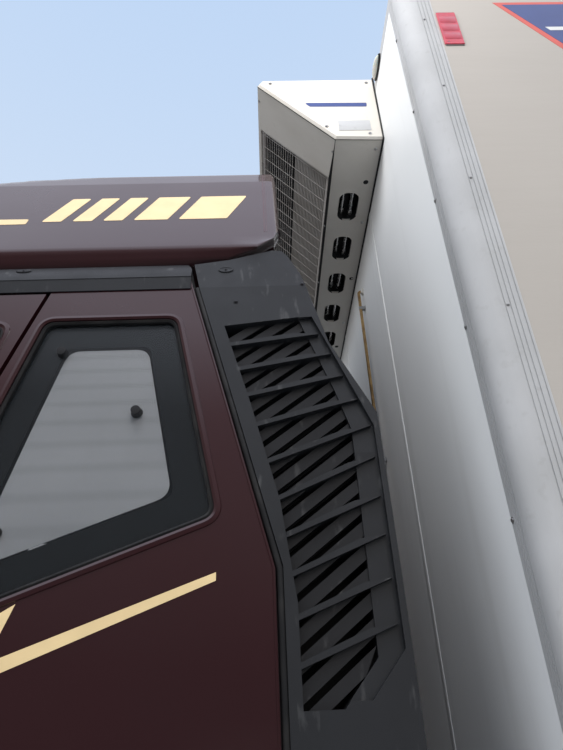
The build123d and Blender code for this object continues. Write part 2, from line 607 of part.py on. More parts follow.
# Grille of the cooling unit: a frame, dense slats in the lower part and wires above them.
SLAT_PITCH = 22
SLAT_COUNT = 9
WIRE_PITCH = 38
WIRE_COUNT = 4
with BuildPart() as cooling_grille:
    with BuildSketch(slope_face.offset(-30)):
        Rectangle(GRILLE_SIZE[0], GRILLE_SIZE[1])
        Rectangle(GRILLE_SIZE[0] - 30, GRILLE_SIZE[1] - 30, mode=Mode.SUBTRACT)
        for i in range(SLAT_COUNT):
            with Locations((0, -GRILLE_SIZE[1] / 2 + 28 + i * SLAT_PITCH)):
                Rectangle(GRILLE_SIZE[0] - 10, 8)
        for i in range(WIRE_COUNT):
            with Locations((0, GRILLE_SIZE[1] / 2 - 38 - i * WIRE_PITCH)):
                Rectangle(GRILLE_SIZE[0] - 10, 5)
    extrude(amount=24)
cooling_grille.part.label = "cooling_grille"
export_step(cooling_grille.part, "parts/cooling_grille.step")

# Marker lamps: pale ovals on the roof rim in front, a red upright lamp on each side.
FRONT_MARKER_Y = 960
FRONT_MARKER_Z = 3712
with BuildPart() as marker_lamps:
    with BuildSketch(Plane.YZ.offset(BOX_FRONT_X)):
        with Locations((FRONT_MARKER_Y, FRONT_MARKER_Z)):
            SlotOverall(110, 42)
    extrude(amount=22)
    block((1897, 1963), (BOX_HALF_WIDTH, BOX_HALF_WIDTH + 5), (3318, 3496))
    mirror_left_to_right()
marker_lamps.part.label = "marker_lamps"
export_step(marker_lamps.part, "parts/marker_lamps.step")

# Drain pipe of the cooling unit, clipped to the front wall, with a bent top into the wall.
PIPE_Y = 143
PIPE_RADIUS = 7
PIPE_TOP_Z = 3248
PIPE_BOTTOM_Z = 1180
PIPE_X = BOX_FRONT_X + 22
with BuildPart() as drain_pipe:
    rod_z(PIPE_RADIUS, PIPE_X, PIPE_Y, (PIPE_BOTTOM_Z, PIPE_TOP_Z), sides=8)
    rod_x(PIPE_RADIUS, (BOX_FRONT_X, PIPE_X + 5), PIPE_Y, PIPE_TOP_Z, sides=8)
    for z in (3150, 2400, 1650):
        block((BOX_FRONT_X, PIPE_X + 10), (PIPE_Y - 12, PIPE_Y + 12), (z - 9, z + 9))
drain_pipe.part.label = "drain_pipe"
export_step(drain_pipe.part, "parts/drain_pipe.step")


# Cab form. Three outlines meet: the side view, the front view and the plan.
# Above the windscreen's base the plan leans back with the screen.
def cab_side_view(inset):
    """Draw the cab's side view."""
    with BuildLine() as outline:
        back = Polyline((2540, CAB_BOTTOM_Z), (2540, 1805), (2735, 2556), (2752, 2622))
        corner = ThreePointArc(back @ 1, (2795, 2690), (2880, 2725))
        top = ThreePointArc(corner @ 1, (3400, 2752), (3920, 2725))
        brow = ThreePointArc(top @ 1, (4090, 2680), (4215, 2560))
        Polyline(brow @ 1, (4460, 1640), (4470, 1560), (4470, CAB_BOTTOM_Z), back @ 0)
    make_face(outline.edges())
    if inset:
        offset(amount=-inset)


def cab_front_view(inset):
    """Draw the cab's front view, with straight flanks that lean in above the belt."""
    with BuildLine() as outline:
        left = Line((CAB_HALF_WIDTH, 900), (CAB_HALF_WIDTH, 1500))
        flank = ThreePointArc(left @ 1, (1123, 2050), (1073, CANT_RAIL_Z))
        edge = ThreePointArc(flank @ 1, (1047, 2640), (960, 2700))
        crown = ThreePointArc(edge @ 1, (0, 2752), (-960, 2700))
        far_edge = ThreePointArc(crown @ 1, (-1047, 2640), (-1073, CANT_RAIL_Z))
        far_flank = ThreePointArc(far_edge @ 1, (-1123, 2050), (-CAB_HALF_WIDTH, 1500))
        Polyline(far_flank @ 1, (-CAB_HALF_WIDTH, 900), left @ 0)
    make_face(outline.edges())
    if inset:
        offset(amount=-inset)


def cab_plan(inset, rear_x=CAB_REAR_X):
    """Draw the cab's plan with its bowed front and rounded front corners."""
    with BuildLine() as outline:
        bow = ThreePointArc((4370, -880), (CAB_FRONT_X, 0), (4370, 880))
        corner = ThreePointArc(bow @ 1, (4272, 1078), (4050, CAB_HALF_WIDTH))
        side = Line(corner @ 1, (rear_x, CAB_HALF_WIDTH))
        across = Line(side @ 1, (rear_x, -CAB_HALF_WIDTH))
        far_side = Line(across @ 1, (4050, -CAB_HALF_WIDTH))
        ThreePointArc(far_side @ 1, (4272, -1078), bow @ 0)
    make_face(outline.edges())
    if inset:
        offset(amount=-inset)


def cab_block(inset):
    """Build the solid inside the cab's outer form, drawn in by inset."""
    lean = Vector(-SCREEN_LEAN * 1200, 0, 1200)
    with BuildPart() as plan_form:
        with BuildSketch(Plane.XY.offset(900)):
            cab_plan(inset)
        extrude(amount=SCREEN_BASE_Z - 900)
        with BuildSketch(Plane.XY.offset(SCREEN_BASE_Z)):
            cab_plan(inset, rear_x=CAB_REAR_X - 100)
        extrude(amount=lean.length, dir=lean)
    with BuildPart() as form:
        with BuildSketch(Plane.XZ.offset(-1400)):
            cab_side_view(inset)
        extrude(amount=2800)
        with BuildSketch(Plane.YZ.offset(2000)):
            cab_front_view(inset)
        extrude(amount=3000, mode=Mode.INTERSECT)
        add(plan_form.part, mode=Mode.INTERSECT)
    return form.part


outer_form = cab_block(0)

# Inside of the cab: the same form, drawn in by the thickness of its walls, in flat faces.
INNER_SIDE = [
    (2585, SILL_TOP_Z), (2585, 1799), (2778, 2545), (2792, 2610), (2830, 2655), (2890, 2680),
    (3400, 2706), (3910, 2680), (4065, 2638), (4172, 2545), (4415, 1634), (4424, 1555),
    (4424, SILL_TOP_Z),
]
INNER_HALF_FRONT = [
    (0, SILL_TOP_Z), (1100, SILL_TOP_Z), (1100, 1498), (1078, 2050), (1028, 2550), (1004, 2620),
    (942, 2657), (500, 2692), (0, 2706),
]
INNER_HALF_PLAN = [
    (2585, 0), (2585, 1100), (4045, 1100), (4190, 1072), (4275, 1010), (4327, 870),
    (4378, 450), (4395, 0),
]


def both_sides(points, across):
    """Return a half outline with its mirror image, where across is the index of Y in a point."""
    flip = [1, 1]
    flip[across] = -1
    return points + [(a * flip[0], b * flip[1]) for a, b in reversed(points[1:-1])]


with BuildPart() as inner_plan:
    plan_plate(both_sides(INNER_HALF_PLAN, 1), (SILL_TOP_Z, SCREEN_BASE_Z))
    with BuildSketch(Plane.XY.offset(SCREEN_BASE_Z)):
        Polygon(*both_sides(INNER_HALF_PLAN, 1), align=None)
    inner_lean = Vector(-SCREEN_LEAN * 1200, 0, 1200)
    extrude(amount=inner_lean.length, dir=inner_lean)
    block((2585, 2900), (-1100, 1100), (SCREEN_BASE_Z, 2800))
with BuildPart() as inner_cavity:
    side_plate(INNER_SIDE, (-1200, 1200))
    front_plate(both_sides(INNER_HALF_FRONT, 0), (2400, 4600), Mode.INTERSECT)
    add(inner_plan.part, mode=Mode.INTERSECT)
inner_form = inner_cavity.part

# Window and door outlines, as (x, z) points seen from the side and (y, z) from the front
DOOR_OUTLINE = [(3126, 2545), (3320, 1770), (3320, 1186), (4200, 1186), (4200, 1640), (3964, 2545)]
DOOR_WINDOW = [(3198, 2440), (3362, 1690), (3760, 1545), (4150, 1545), (4150, 1660), (3950, 2440)]
QUARTER_WINDOW = [(3109, 2449), (2772, 2449), (2657, 1915), (3272, 1690)]
SCREEN_WINDOW = [(-1030, 1668), (1030, 1668), (965, 2470), (-965, 2470)]
FRONT_SPLIT = [
    (FRONT_SPLIT_X, 900), (FRONT_SPLIT_X, SCREEN_BASE_Z),
    (FRONT_SPLIT_X - 239, CANT_RAIL_Z), (4700, CANT_RAIL_Z), (4700, 900),
]
LEFT_Y = (900, 1300)
RIGHT_Y = (-1300, -900)
BOTH_Y = (-1300, 1300)
SCREEN_X = (3800, 4700)
REAR_WALL_HALF = 1020
WINDOW_ROUND = 35


def cut_door_openings():
    """Cut both door openings, one gap larger than the doors."""
    with BuildSketch(Plane.XZ.offset(-LEFT_Y[1])) as opening:
        Polygon(*DOOR_OUTLINE, align=None)
        offset(amount=DOOR_GAP, kind=Kind.INTERSECTION)
    for shift in (0, -LEFT_Y[0] - LEFT_Y[1]):
        moved = opening.sketch.moved(Location((0, shift, 0)))
        extrude(moved, amount=LEFT_Y[1] - LEFT_Y[0], mode=Mode.SUBTRACT)


def cab_band(outer_inset, inner_inset, z):
    """Build the strip of the cab's plan between two insets over the span z."""
    with BuildPart() as band:
        with BuildSketch(Plane.XY.offset(z[0])):
            cab_plan(outer_inset)
        extrude(amount=z[1] - z[0])
        with BuildSketch(Plane.XY.offset(z[0])):
            cab_plan(inner_inset)
        extrude(amount=z[1] - z[0], mode=Mode.SUBTRACT)
    return band.part


with BuildPart() as cab_walls:
    add(outer_form)
    add(inner_form, mode=Mode.SUBTRACT)

with BuildPart() as shell:
    add(cab_walls.part)
    cut_door_openings()
    side_plate(QUARTER_WINDOW, LEFT_Y, Mode.SUBTRACT, WINDOW_ROUND)
    side_plate(QUARTER_WINDOW, RIGHT_Y, Mode.SUBTRACT, WINDOW_ROUND)
    front_plate(SCREEN_WINDOW, SCREEN_X, Mode.SUBTRACT, WINDOW_ROUND)

# Cab floor, with the two lugs that turn on the tilt pins.
LUG_Y = (456, 480)
LUG_OUTLINE = [
    (4250, CAB_BOTTOM_Z), (4340, 925), (4350, 905), (4370, 899),
    (4388, 905), (4398, 925), (4398, CAB_BOTTOM_Z),
]
with BuildPart() as cab_floor:
    add(shell.part)
    block((2400, FRONT_SPLIT_X), BOTH_Y, (CAB_BOTTOM_Z - 10, SILL_TOP_Z), mode=Mode.INTERSECT)
    with BuildSketch(Plane.XY.offset(CAB_BOTTOM_Z)):
        cab_plan(CAB_WALL)
    extrude(amount=CAB_WALL)
    for side in (-1, 1):
        lug_y = sorted((side * LUG_Y[0], side * LUG_Y[1]))
        side_plate(LUG_OUTLINE, lug_y)
        rod_y(PIN_RADIUS + 1, TILT_X, lug_y, TILT_Z, mode=Mode.SUBTRACT)
cab_floor.part.label = "cab_floor"
export_step(cab_floor.part, "parts/cab_floor.step")

WALL_Z = (SILL_TOP_Z, CANT_RAIL_Z)
with BuildPart() as cab_rear_wall:
    add(shell.part)
    block((2400, 2900), (-REAR_WALL_HALF, REAR_WALL_HALF), WALL_Z, mode=Mode.INTERSECT)
cab_rear_wall.part.label = "cab_rear_wall"
export_step(cab_rear_wall.part, "parts/cab_rear_wall.step")

with BuildPart() as cab_side_panels:
    add(shell.part)
    block((2400, 3600), BOTH_Y, WALL_Z, mode=Mode.INTERSECT)
    block((2400, 3600), (-REAR_WALL_HALF, REAR_WALL_HALF), WALL_Z, mode=Mode.SUBTRACT)
cab_side_panels.part.label = "cab_side_panels"
export_step(cab_side_panels.part, "parts/cab_side_panels.step")

with BuildPart() as cab_roof:
    add(shell.part)
    block((2400, 4700), BOTH_Y, (CANT_RAIL_Z, 2900), mode=Mode.INTERSECT)
cab_roof.part.label = "cab_roof"
export_step(cab_roof.part, "parts/cab_roof.step")

# Cab front with the windscreen pillars, and the skirt that hangs below the floor.
SKIRT_WALL = 18
with BuildPart() as cab_front:
    add(shell.part)
    add(cab_band(0, SKIRT_WALL, (SKIRT_BOTTOM_Z, CAB_BOTTOM_Z)))
    side_plate(FRONT_SPLIT, BOTH_Y, Mode.INTERSECT)
    with BuildSketch(Plane.XY.offset(CAB_BOTTOM_Z)):
        cab_plan(CAB_WALL)
    extrude(amount=CAB_WALL, mode=Mode.SUBTRACT)
cab_front.part.label = "cab_front"
export_step(cab_front.part, "parts/cab_front.step")

# Front grille, a slotted panel that stands on the cab front.
GRILLE_Z = (1010, 1350)
GRILLE_HALF = 720
GRILLE_SLOTS_Z = (1050, 1120, 1190, 1260)
with BuildPart() as front_grille:
    add(cab_band(-14, 0, GRILLE_Z))
    block((4200, 4600), (-GRILLE_HALF, GRILLE_HALF), GRILLE_Z, mode=Mode.INTERSECT)
    for z in GRILLE_SLOTS_Z:
        block((4200, 4600), (-GRILLE_HALF + 50, GRILLE_HALF - 50), (z, z + 40), mode=Mode.SUBTRACT)
front_grille.part.label = "front_grille"
export_step(front_grille.part, "parts/front_grille.step")

# Glass, set in the thickness of the walls.
GLASS_INSET = 12
GLASS_THICK = 6
with BuildPart() as glass_layer:
    add(cab_block(GLASS_INSET))
    add(cab_block(GLASS_INSET + GLASS_THICK), mode=Mode.SUBTRACT)
with BuildPart() as window_prisms:
    front_plate(SCREEN_WINDOW, SCREEN_X, radius=WINDOW_ROUND)
    side_plate(QUARTER_WINDOW, LEFT_Y, radius=WINDOW_ROUND)
    side_plate(QUARTER_WINDOW, RIGHT_Y, radius=WINDOW_ROUND)
with BuildPart() as cab_windows:
    add(glass_layer.part)
    add(window_prisms.part, mode=Mode.INTERSECT)
cab_windows.part.label = "cab_windows"
export_step(cab_windows.part, "parts/cab_windows.step")

# Doors: the whole thickness of the wall inside the door's outline, with two hinge barrels
# on the door's turning axis, and their glass.
HINGE_AT = (4196, 1122)
HINGE_RADIUS = 9
HINGE_SPANS_Z = ((1240, 1330), (1500, 1590))
with BuildPart() as door_left:
    add(cab_walls.part)
    side_plate(DOOR_OUTLINE, LEFT_Y, Mode.INTERSECT)
    side_plate(DOOR_WINDOW, LEFT_Y, Mode.SUBTRACT, WINDOW_ROUND)
    for span in HINGE_SPANS_Z:
        rod_z(HINGE_RADIUS, HINGE_AT[0], HINGE_AT[1], span)
door_left.part.label = "door_left"
export_step(door_left.part, "parts/door_left.step")

with BuildPart() as door_glass_left:
    add(glass_layer.part)
    side_plate(DOOR_WINDOW, LEFT_Y, Mode.INTERSECT, WINDOW_ROUND)
door_glass_left.part.label = "door_glass_left"
export_step(door_glass_left.part, "parts/door_glass_left.step")

with BuildPart() as door_right:
    add(door_left.part.mirror(Plane.XZ))
door_right.part.label = "door_right"
export_step(door_right.part, "parts/door_right.step")

with BuildPart() as door_glass_right:
    add(door_glass_left.part.mirror(Plane.XZ))
door_glass_right.part.label = "door_glass_right"
export_step(door_glass_right.part, "parts/door_glass_right.step")

# Roof strips: a raised strip along each cant rail, with an upright lip below.
STRIP_THICK = 10
STRIP_X = (2742, 4020)
STRIP_Z = (2551, 2660)
STRIP_LIP = [(1077.5, 2592), (1077.5, 2540), (1130, 2540), (1130, 2592)]
with BuildPart() as roof_strips:
    add(cab_block(-STRIP_THICK))
    add(outer_form, mode=Mode.SUBTRACT)
    block(STRIP_X, BOTH_Y, STRIP_Z, mode=Mode.INTERSECT)
    block((2400, 4700), (-900, 900), STRIP_Z, mode=Mode.SUBTRACT)
    front_plate(STRIP_LIP, (2400, 4700), Mode.SUBTRACT)
    front_plate([(-y, z) for y, z in STRIP_LIP], (2400, 4700), Mode.SUBTRACT)
roof_strips.part.label = "roof_strips"
export_step(roof_strips.part, "parts/roof_strips.step")

# Roof deflector: a moulded shell, open behind and below, drawn in at its foot, on six feet.
DEFLECTOR_REAR_X = 2491
DEFLECTOR_WALL = 8
DEFLECTOR_FEET_X = (2920, 3290, 3660)
DEFLECTOR_FLANK = [(1036, 2658), (1054, 2718), (1002, 2868), (905, 3150), (866, 3234), (775, 3272)]


def deflector_block(inset, rear_x, bottom_z):
    """Build the solid inside the deflector's outer form, drawn in by inset."""
    flank = [(y - inset, z - inset) for y, z in DEFLECTOR_FLANK]
    outline = [(flank[0][0], bottom_z)] + flank
    mirrored = [(-y, z) for y, z in reversed(outline)]
    with BuildPart() as form:
        with BuildSketch(Plane.XZ.offset(-1300)):
            with BuildLine():
                top = Polyline((rear_x, bottom_z), (rear_x, 3285 - inset), (3360, 3205 - inset))
                slope = ThreePointArc(top @ 1, (3790 - inset, 3010 - inset), (4060 - inset, 2640))
                Polyline(slope @ 1, (4060 - inset, bottom_z), top @ 0)
            make_face()
        extrude(amount=2600)
        with BuildSketch(Plane.YZ.offset(2000)):
            Polygon(*outline, *mirrored, align=None)
        extrude(amount=3000, mode=Mode.INTERSECT)
        with BuildSketch(Plane.XY.offset(bottom_z)):
            with BuildLine():
                bow = ThreePointArc((4010 - inset, -700), (4060 - inset, 0), (4010 - inset, 700))
                corner = ThreePointArc(bow @ 1, (3800 - inset, 960 - inset), (3300, 1060 - inset))
                Polyline(corner @ 1, (rear_x, 1060 - inset), (rear_x, inset - 1060), (3300, inset - 1060))
                ThreePointArc((3300, inset - 1060), (3800 - inset, inset - 960), bow @ 0)
            make_face()
        extrude(amount=900, mode=Mode.INTERSECT)
    return form.part


DEFLECTOR_FOOT = [
    (2400, 2800), (2495, 2790), (2517, 2735), (2640, 2684), (2760, 2664), (4200, 2664),
    (4200, 2400), (2400, 2400),
]
with BuildPart() as roof_deflector:
    add(deflector_block(0, DEFLECTOR_REAR_X, 2600))
    add(deflector_block(DEFLECTOR_WALL, DEFLECTOR_REAR_X - 200, 2400), mode=Mode.SUBTRACT)
    side_plate(DEFLECTOR_FOOT, BOTH_Y, Mode.SUBTRACT)
    for x in DEFLECTOR_FEET_X:
        for side in (-1, 1):
            block((x - 30, x + 30), sorted((side * 960, side * 1034)), (2662, 2765))
    add(outer_form, mode=Mode.SUBTRACT)
roof_deflector.part.label = "roof_deflector"
export_step(roof_deflector.part, "parts/roof_deflector.step")

# Side fairings, which close the gap between the cab and the box. Each is a moulded panel
# with an opening, crossed by tapered fins that run out over the sunken rear margin.
FAIRING_X = (2270, 2760)
FAIRING_WALL = 12
FAIRING_DEPTH = 52
MARGIN_SINK = 10
FLANGE = 12
GROOVE_DEPTH = 14
FAIRING_OUTLINE = [
    (2524, 1140), (2524, 1808), (2719, 2556), (2738, 2655), (2640, 2672), (2517, 2712), (2491, 2708),
    (2474, 2684), (2443, 2604), (2386, 2354), (2293, 2146), (2291, 1140),
]
FRONT_RIB = [(2512, 1140), (2524, 1140), (2524, 1808), (2719, 2556), (2707, 2556), (2512, 1809)]
REAR_RIB = [(2293, 2146), (2291, 1140), (2303, 1140), (2305, 2143), (2398, 2350), (2386, 2354)]
JOINT_FLANGE = [(2520, 1140), (2540, 1140), (2540, 1805), (2735, 2556), (2715, 2556), (2520, 1808)]
FAIRING_OPENING = [
    (2649, 2417), (2589, 2200), (2525, 1943), (2499, 1740), (2499, 1560), (2425, 1560),
    (2355, 1640), (2355, 2110), (2383, 2215), (2457, 2440),
]
SUNKEN_MARGIN = [
    (2500, 2436), (2423, 2441), (2305, 2114), (2305, 1652), (2375, 1572), (2440, 1572), (2400, 2110),
]
# Columns: front x, front z, rear tip x, rear tip z
FINS = [
    (2634, 2351, 2410, 2382),
    (2613, 2275, 2383, 2318),
    (2592, 2200, 2360, 2252),
    (2570, 2120, 2332, 2184),
    (2548, 2028, 2311, 2113),
    (2527, 1943, 2311, 2035),
    (2515, 1864, 2311, 1945),
    (2506, 1787, 2311, 1864),
    (2503, 1706, 2311, 1778),
    (2503, 1624, 2311, 1695),
]
FIN_THICK = 11


def draw_fins():
    """Draw every fin: level below, thickest past its middle, pointed at its rear tip."""
    for front_x, front_z, tip_x, tip_z in FINS:
        bulge_x = front_x + 0.72 * (tip_x - front_x)
        bulge_z = front_z + 0.72 * (tip_z - front_z) + FIN_THICK + 3
        fin = [(front_x, front_z), (tip_x, tip_z), (bulge_x, bulge_z), (front_x, front_z + FIN_THICK)]
        Polygon(*fin, align=None)


# The fairings' outside in flat faces, as (y, z) points
FLANK_POINTS = [(1145, 1000), (1145, 1500), (1123, 2050), (1073, 2556), (1038, 2720)]


def flank_form(inset):
    """Build the space inside the left fairing's outside, drawn in by inset."""
    outline = [(y - inset, z) for y, z in FLANK_POINTS]
    with BuildPart() as form:
        front_plate([(LEFT_Y[0], 1000)] + outline + [(LEFT_Y[0], 2720)], FAIRING_X)
    return form.part


with BuildPart() as outer_flank:
    with BuildSketch(Plane.YZ.offset(FAIRING_X[0])):
        with BuildLine():
            lower = Polyline((LEFT_Y[0], 1000), FLANK_POINTS[0], FLANK_POINTS[1])
            bowed = ThreePointArc(lower @ 1, FLANK_POINTS[2], FLANK_POINTS[3])
            Polyline(bowed @ 1, FLANK_POINTS[4], (LEFT_Y[0], 2720), lower @ 0)
        make_face()
    extrude(amount=FAIRING_X[1] - FAIRING_X[0])
flank_outer = outer_flank.part
flank_back = flank_form(FAIRING_DEPTH)

with BuildPart() as fairing_plate:
    add(flank_outer)
    add(flank_form(FAIRING_WALL), mode=Mode.SUBTRACT)
    side_plate(FAIRING_OUTLINE, LEFT_Y, Mode.INTERSECT)
    side_plate(FAIRING_OPENING, LEFT_Y, Mode.SUBTRACT)

with BuildPart() as fairing_ribs:
    with BuildSketch(Plane.XZ.offset(-LEFT_Y[1])):
        Polygon(*FAIRING_OPENING, align=None)
        offset(amount=FLANGE, kind=Kind.INTERSECTION)
        Polygon(*FAIRING_OPENING, align=None, mode=Mode.SUBTRACT)
        draw_fins()
        Polygon(*FRONT_RIB, align=None)
        Polygon(*REAR_RIB, align=None)
    extrude(amount=LEFT_Y[1] - LEFT_Y[0])
    add(flank_outer, mode=Mode.INTERSECT)
    add(flank_back, mode=Mode.SUBTRACT)

# The flange that meets the cab's back lies deeper, and leaves a groove beside the cab.
with BuildPart() as joint_flange:
    side_plate(JOINT_FLANGE, LEFT_Y)
    add(flank_form(GROOVE_DEPTH), mode=Mode.INTERSECT)
    add(flank_back, mode=Mode.SUBTRACT)

with BuildPart() as margin_cut:
    with BuildSketch(Plane.XZ.offset(-LEFT_Y[1])):
        Polygon(*SUNKEN_MARGIN, align=None)
    extrude(amount=LEFT_Y[1] - LEFT_Y[0])
    add(flank_form(MARGIN_SINK), mode=Mode.SUBTRACT)
    with BuildSketch(Plane.XZ.offset(-LEFT_Y[1])):
        draw_fins()
    extrude(amount=LEFT_Y[1] - LEFT_Y[0], mode=Mode.SUBTRACT)

with BuildPart() as margin_floor:
    add(flank_form(MARGIN_SINK))
    add(flank_form(MARGIN_SINK + FAIRING_WALL), mode=Mode.SUBTRACT)
    side_plate(SUNKEN_MARGIN, LEFT_Y, Mode.INTERSECT)
    side_plate(FAIRING_OPENING, LEFT_Y, Mode.SUBTRACT)

with BuildPart() as side_fairings:
    add(fairing_plate.part)
    add(fairing_ribs.part)
    add(joint_flange.part)
    add(margin_cut.part, mode=Mode.SUBTRACT)
    add(margin_floor.part)
    mirror_left_to_right()
side_fairings.part.label = "side_fairings"
export_step(side_fairings.part, "parts/side_fairings.step")

# Lattices: diagonal bars close behind each fairing's fins, at the mouth of a shallow tray
# that is closed behind.
LATTICE_THICK = 8
TRAY_DEPTH = 118
TRAY_BACK = 5
BAR_SLOPE = 143
BAR_WIDTH = 22
BAR_PITCH = 47
BAR_COUNT = 23
with BuildPart() as tray_block:
    with BuildSketch(Plane.XZ.offset(-LEFT_Y[1])):
        Polygon(*FAIRING_OPENING, align=None)
        offset(amount=FLANGE, kind=Kind.INTERSECTION)
    extrude(amount=LEFT_Y[1] - LEFT_Y[0])
with BuildPart() as tray_pocket:
    side_plate(FAIRING_OPENING, LEFT_Y)
    add(flank_form(TRAY_DEPTH - TRAY_BACK), mode=Mode.SUBTRACT)
with BuildPart() as lattice_bars:
    with BuildSketch(Plane.XZ.offset(-LEFT_Y[1])):
        for i in range(BAR_COUNT):
            with Locations(Location((2450, 1480 + i * BAR_PITCH), BAR_SLOPE)):
                Rectangle(700, BAR_WIDTH)
    extrude(amount=LEFT_Y[1] - LEFT_Y[0])
    add(tray_block.part, mode=Mode.INTERSECT)
    add(flank_form(FAIRING_DEPTH + LATTICE_THICK), mode=Mode.SUBTRACT)
with BuildPart() as fairing_lattices:
    add(tray_block.part)
    add(flank_form(TRAY_DEPTH), mode=Mode.SUBTRACT)
    add(tray_pocket.part, mode=Mode.SUBTRACT)
    add(lattice_bars.part)
    add(flank_back, mode=Mode.INTERSECT)
    mirror_left_to_right()
fairing_lattices.part.label = "fairing_lattices"
export_step(fairing_lattices.part, "parts/fairing_lattices.step")

# Mirrors: a tall housing on two arms from each windscreen pillar.
MIRROR_X = (4290, 4385)
MIRROR_Y = (1215, 1420)
MIRROR_Z = (1680, 2260)
# Columns: foot x, foot y, height
MIRROR_ARMS = [(4222, 1060, 1740), (4118, 1040, 2180)]
with BuildPart() as mirrors:
    block(MIRROR_X, MIRROR_Y, MIRROR_Z)
    fillet(mirrors.edges().filter_by(Axis.X), 45)
    for foot_x, foot_y, height in MIRROR_ARMS:
        foot = Vector(foot_x, foot_y, height)
        tip = Vector(middle(MIRROR_X), MIRROR_Y[0] + 60, height)
        with BuildSketch(Plane(origin=foot, z_dir=tip - foot)):
            RegularPolygon(15, 8)
        extrude(amount=(tip - foot).length)
    add(outer_form, mode=Mode.SUBTRACT)
    mirror_left_to_right()
mirrors.part.label = "mirrors"
export_step(mirrors.part, "parts/mirrors.step")

# Dashboard, with the steering column and wheel in front of the driver on the left.
DRIVER_Y = 560
WHEEL_CENTRE = (3860, DRIVER_Y, 1720)
WHEEL_AXIS = (-1, 0, 1)
DASH_OUTLINE = [
    (4420, SILL_TOP_Z), (4420, 1600), (4180, 1640), (3985, 1560), (3975, 1470), (4130, 1380),
    (4200, SILL_TOP_Z),
]
with BuildPart() as dashboard:
    side_plate(DASH_OUTLINE, (-940, 940))
    add(inner_form, mode=Mode.INTERSECT)
    with BuildSketch(Plane(origin=WHEEL_CENTRE, z_dir=WHEEL_AXIS)):
        RegularPolygon(240, 24)
        RegularPolygon(210, 24, mode=Mode.SUBTRACT)
        Rectangle(440, 36)
    extrude(amount=24)
    with BuildSketch(Plane(origin=WHEEL_CENTRE, z_dir=WHEEL_AXIS)):
        RegularPolygon(34, 12)
    extrude(amount=-300)
dashboard.part.label = "dashboard"
export_step(dashboard.part, "parts/dashboard.step")

# Seats: one for the driver and a wider one for passengers, each on its pedestal.
SEAT_OUTLINE = [
    (3200, SILL_TOP_Z), (3580, SILL_TOP_Z), (3580, 1400), (3650, 1440), (3660, 1530), (3250, 1530),
    (3120, 2170), (3010, 2160), (3110, 1440), (3200, 1400),
]
SEAT_SPANS_Y = ((310, 810), (-850, -110))
with BuildPart() as seats:
    for y in SEAT_SPANS_Y:
        side_plate(SEAT_OUTLINE, y)
seats.part.label = "seats"
export_step(seats.part, "parts/seats.step")

# Steering knuckles: a fork on the kingpin, a plate, the spindle and the steering arm.
SPINDLE_RADIUS = 48
FORK_Z = (75, 125)
PLATE_Y = (900, 925)
SPINDLE_END_Y = 1040
ARM_REACH = 180
ARM_Z = (380, 410)
with BuildPart() as knuckle_left:
    block((FRONT_AXLE_X - 70, FRONT_AXLE_X + 70), PLATE_Y, (AXLE_Z - FORK_Z[1], AXLE_Z + FORK_Z[1]))
    for fork in ((AXLE_Z + FORK_Z[0], AXLE_Z + FORK_Z[1]), (AXLE_Z - FORK_Z[1], AXLE_Z - FORK_Z[0])):
        rod_z(EYE_RADIUS, FRONT_AXLE_X, KINGPIN_Y, fork)
        block((FRONT_AXLE_X - EYE_RADIUS, FRONT_AXLE_X + EYE_RADIUS), (KINGPIN_Y, PLATE_Y[1]), fork)
    rod_y(SPINDLE_RADIUS, FRONT_AXLE_X, (PLATE_Y[0], SPINDLE_END_Y), AXLE_Z)
    block((FRONT_AXLE_X - ARM_REACH, FRONT_AXLE_X), (KINGPIN_Y - 20, KINGPIN_Y + 20), ARM_Z)
    rod_z(26, FRONT_AXLE_X - ARM_REACH, KINGPIN_Y, ARM_Z)
knuckle_left.part.label = "knuckle_left"
export_step(knuckle_left.part, "parts/knuckle_left.step")

with BuildPart() as knuckle_right:
    add(knuckle_left.part.mirror(Plane.XZ))
knuckle_right.part.label = "knuckle_right"
export_step(knuckle_right.part, "parts/knuckle_right.step")

# Tie rod between the two steering arms, with a ball joint under each arm.
TIE_Z = 358
with BuildPart() as tie_rod:
    rod_y(16, FRONT_AXLE_X - ARM_REACH, (-KINGPIN_Y, KINGPIN_Y), TIE_Z, sides=8)
    for side in (-1, 1):
        rod_z(22, FRONT_AXLE_X - ARM_REACH, side * KINGPIN_Y, (TIE_Z - 18, ARM_Z[0] - 2))
tie_rod.part.label = "tie_rod"
export_step(tie_rod.part, "parts/tie_rod.step")


# Tyres and rims are many-sided, with a level side on the ground.
# Columns of every table of sections: place across the wheel, radius
TYRE_SECTIONS = [
    (-88, 302), (-TYRE_WIDTH / 2, 395), (-112, 474), (-84, TYRE_RADIUS),
    (84, TYRE_RADIUS), (112, 474), (TYRE_WIDTH / 2, 395), (88, 302),
]
DISH_OUTSIDE = [(38, 278), (60, 278), (80, 262), (132, 184)]
DISH_INSIDE = [(38, 270), (68, 250), (118, 178)]
TWIN_DISH_OUTSIDE = [(0, 190), (68, 264), (86, 278), (104, 278)]
TWIN_DISH_INSIDE = [(12, 184), (86, 258), (104, 270)]
HUB_RADIUS = 105
DRUM_RADIUS = 200
HAND_HOLES = 8


def straight(radius, across):
    """Return the sections of a straight ring or bore of one radius."""
    return [(across[0], radius), (across[1], radius)]


def flipped(sections):
    """Return sections turned to face the other way."""
    return [(-across, radius) for across, radius in reversed(sections)]


def tyre(axle_x, centre_y):
    """Add one tyre with its opening for the rim."""
    add(turned(axle_x, centre_y, TYRE_SECTIONS))
    add(turned(axle_x, centre_y, straight(RIM_RADIUS, (-100, 100))), mode=Mode.SUBTRACT)


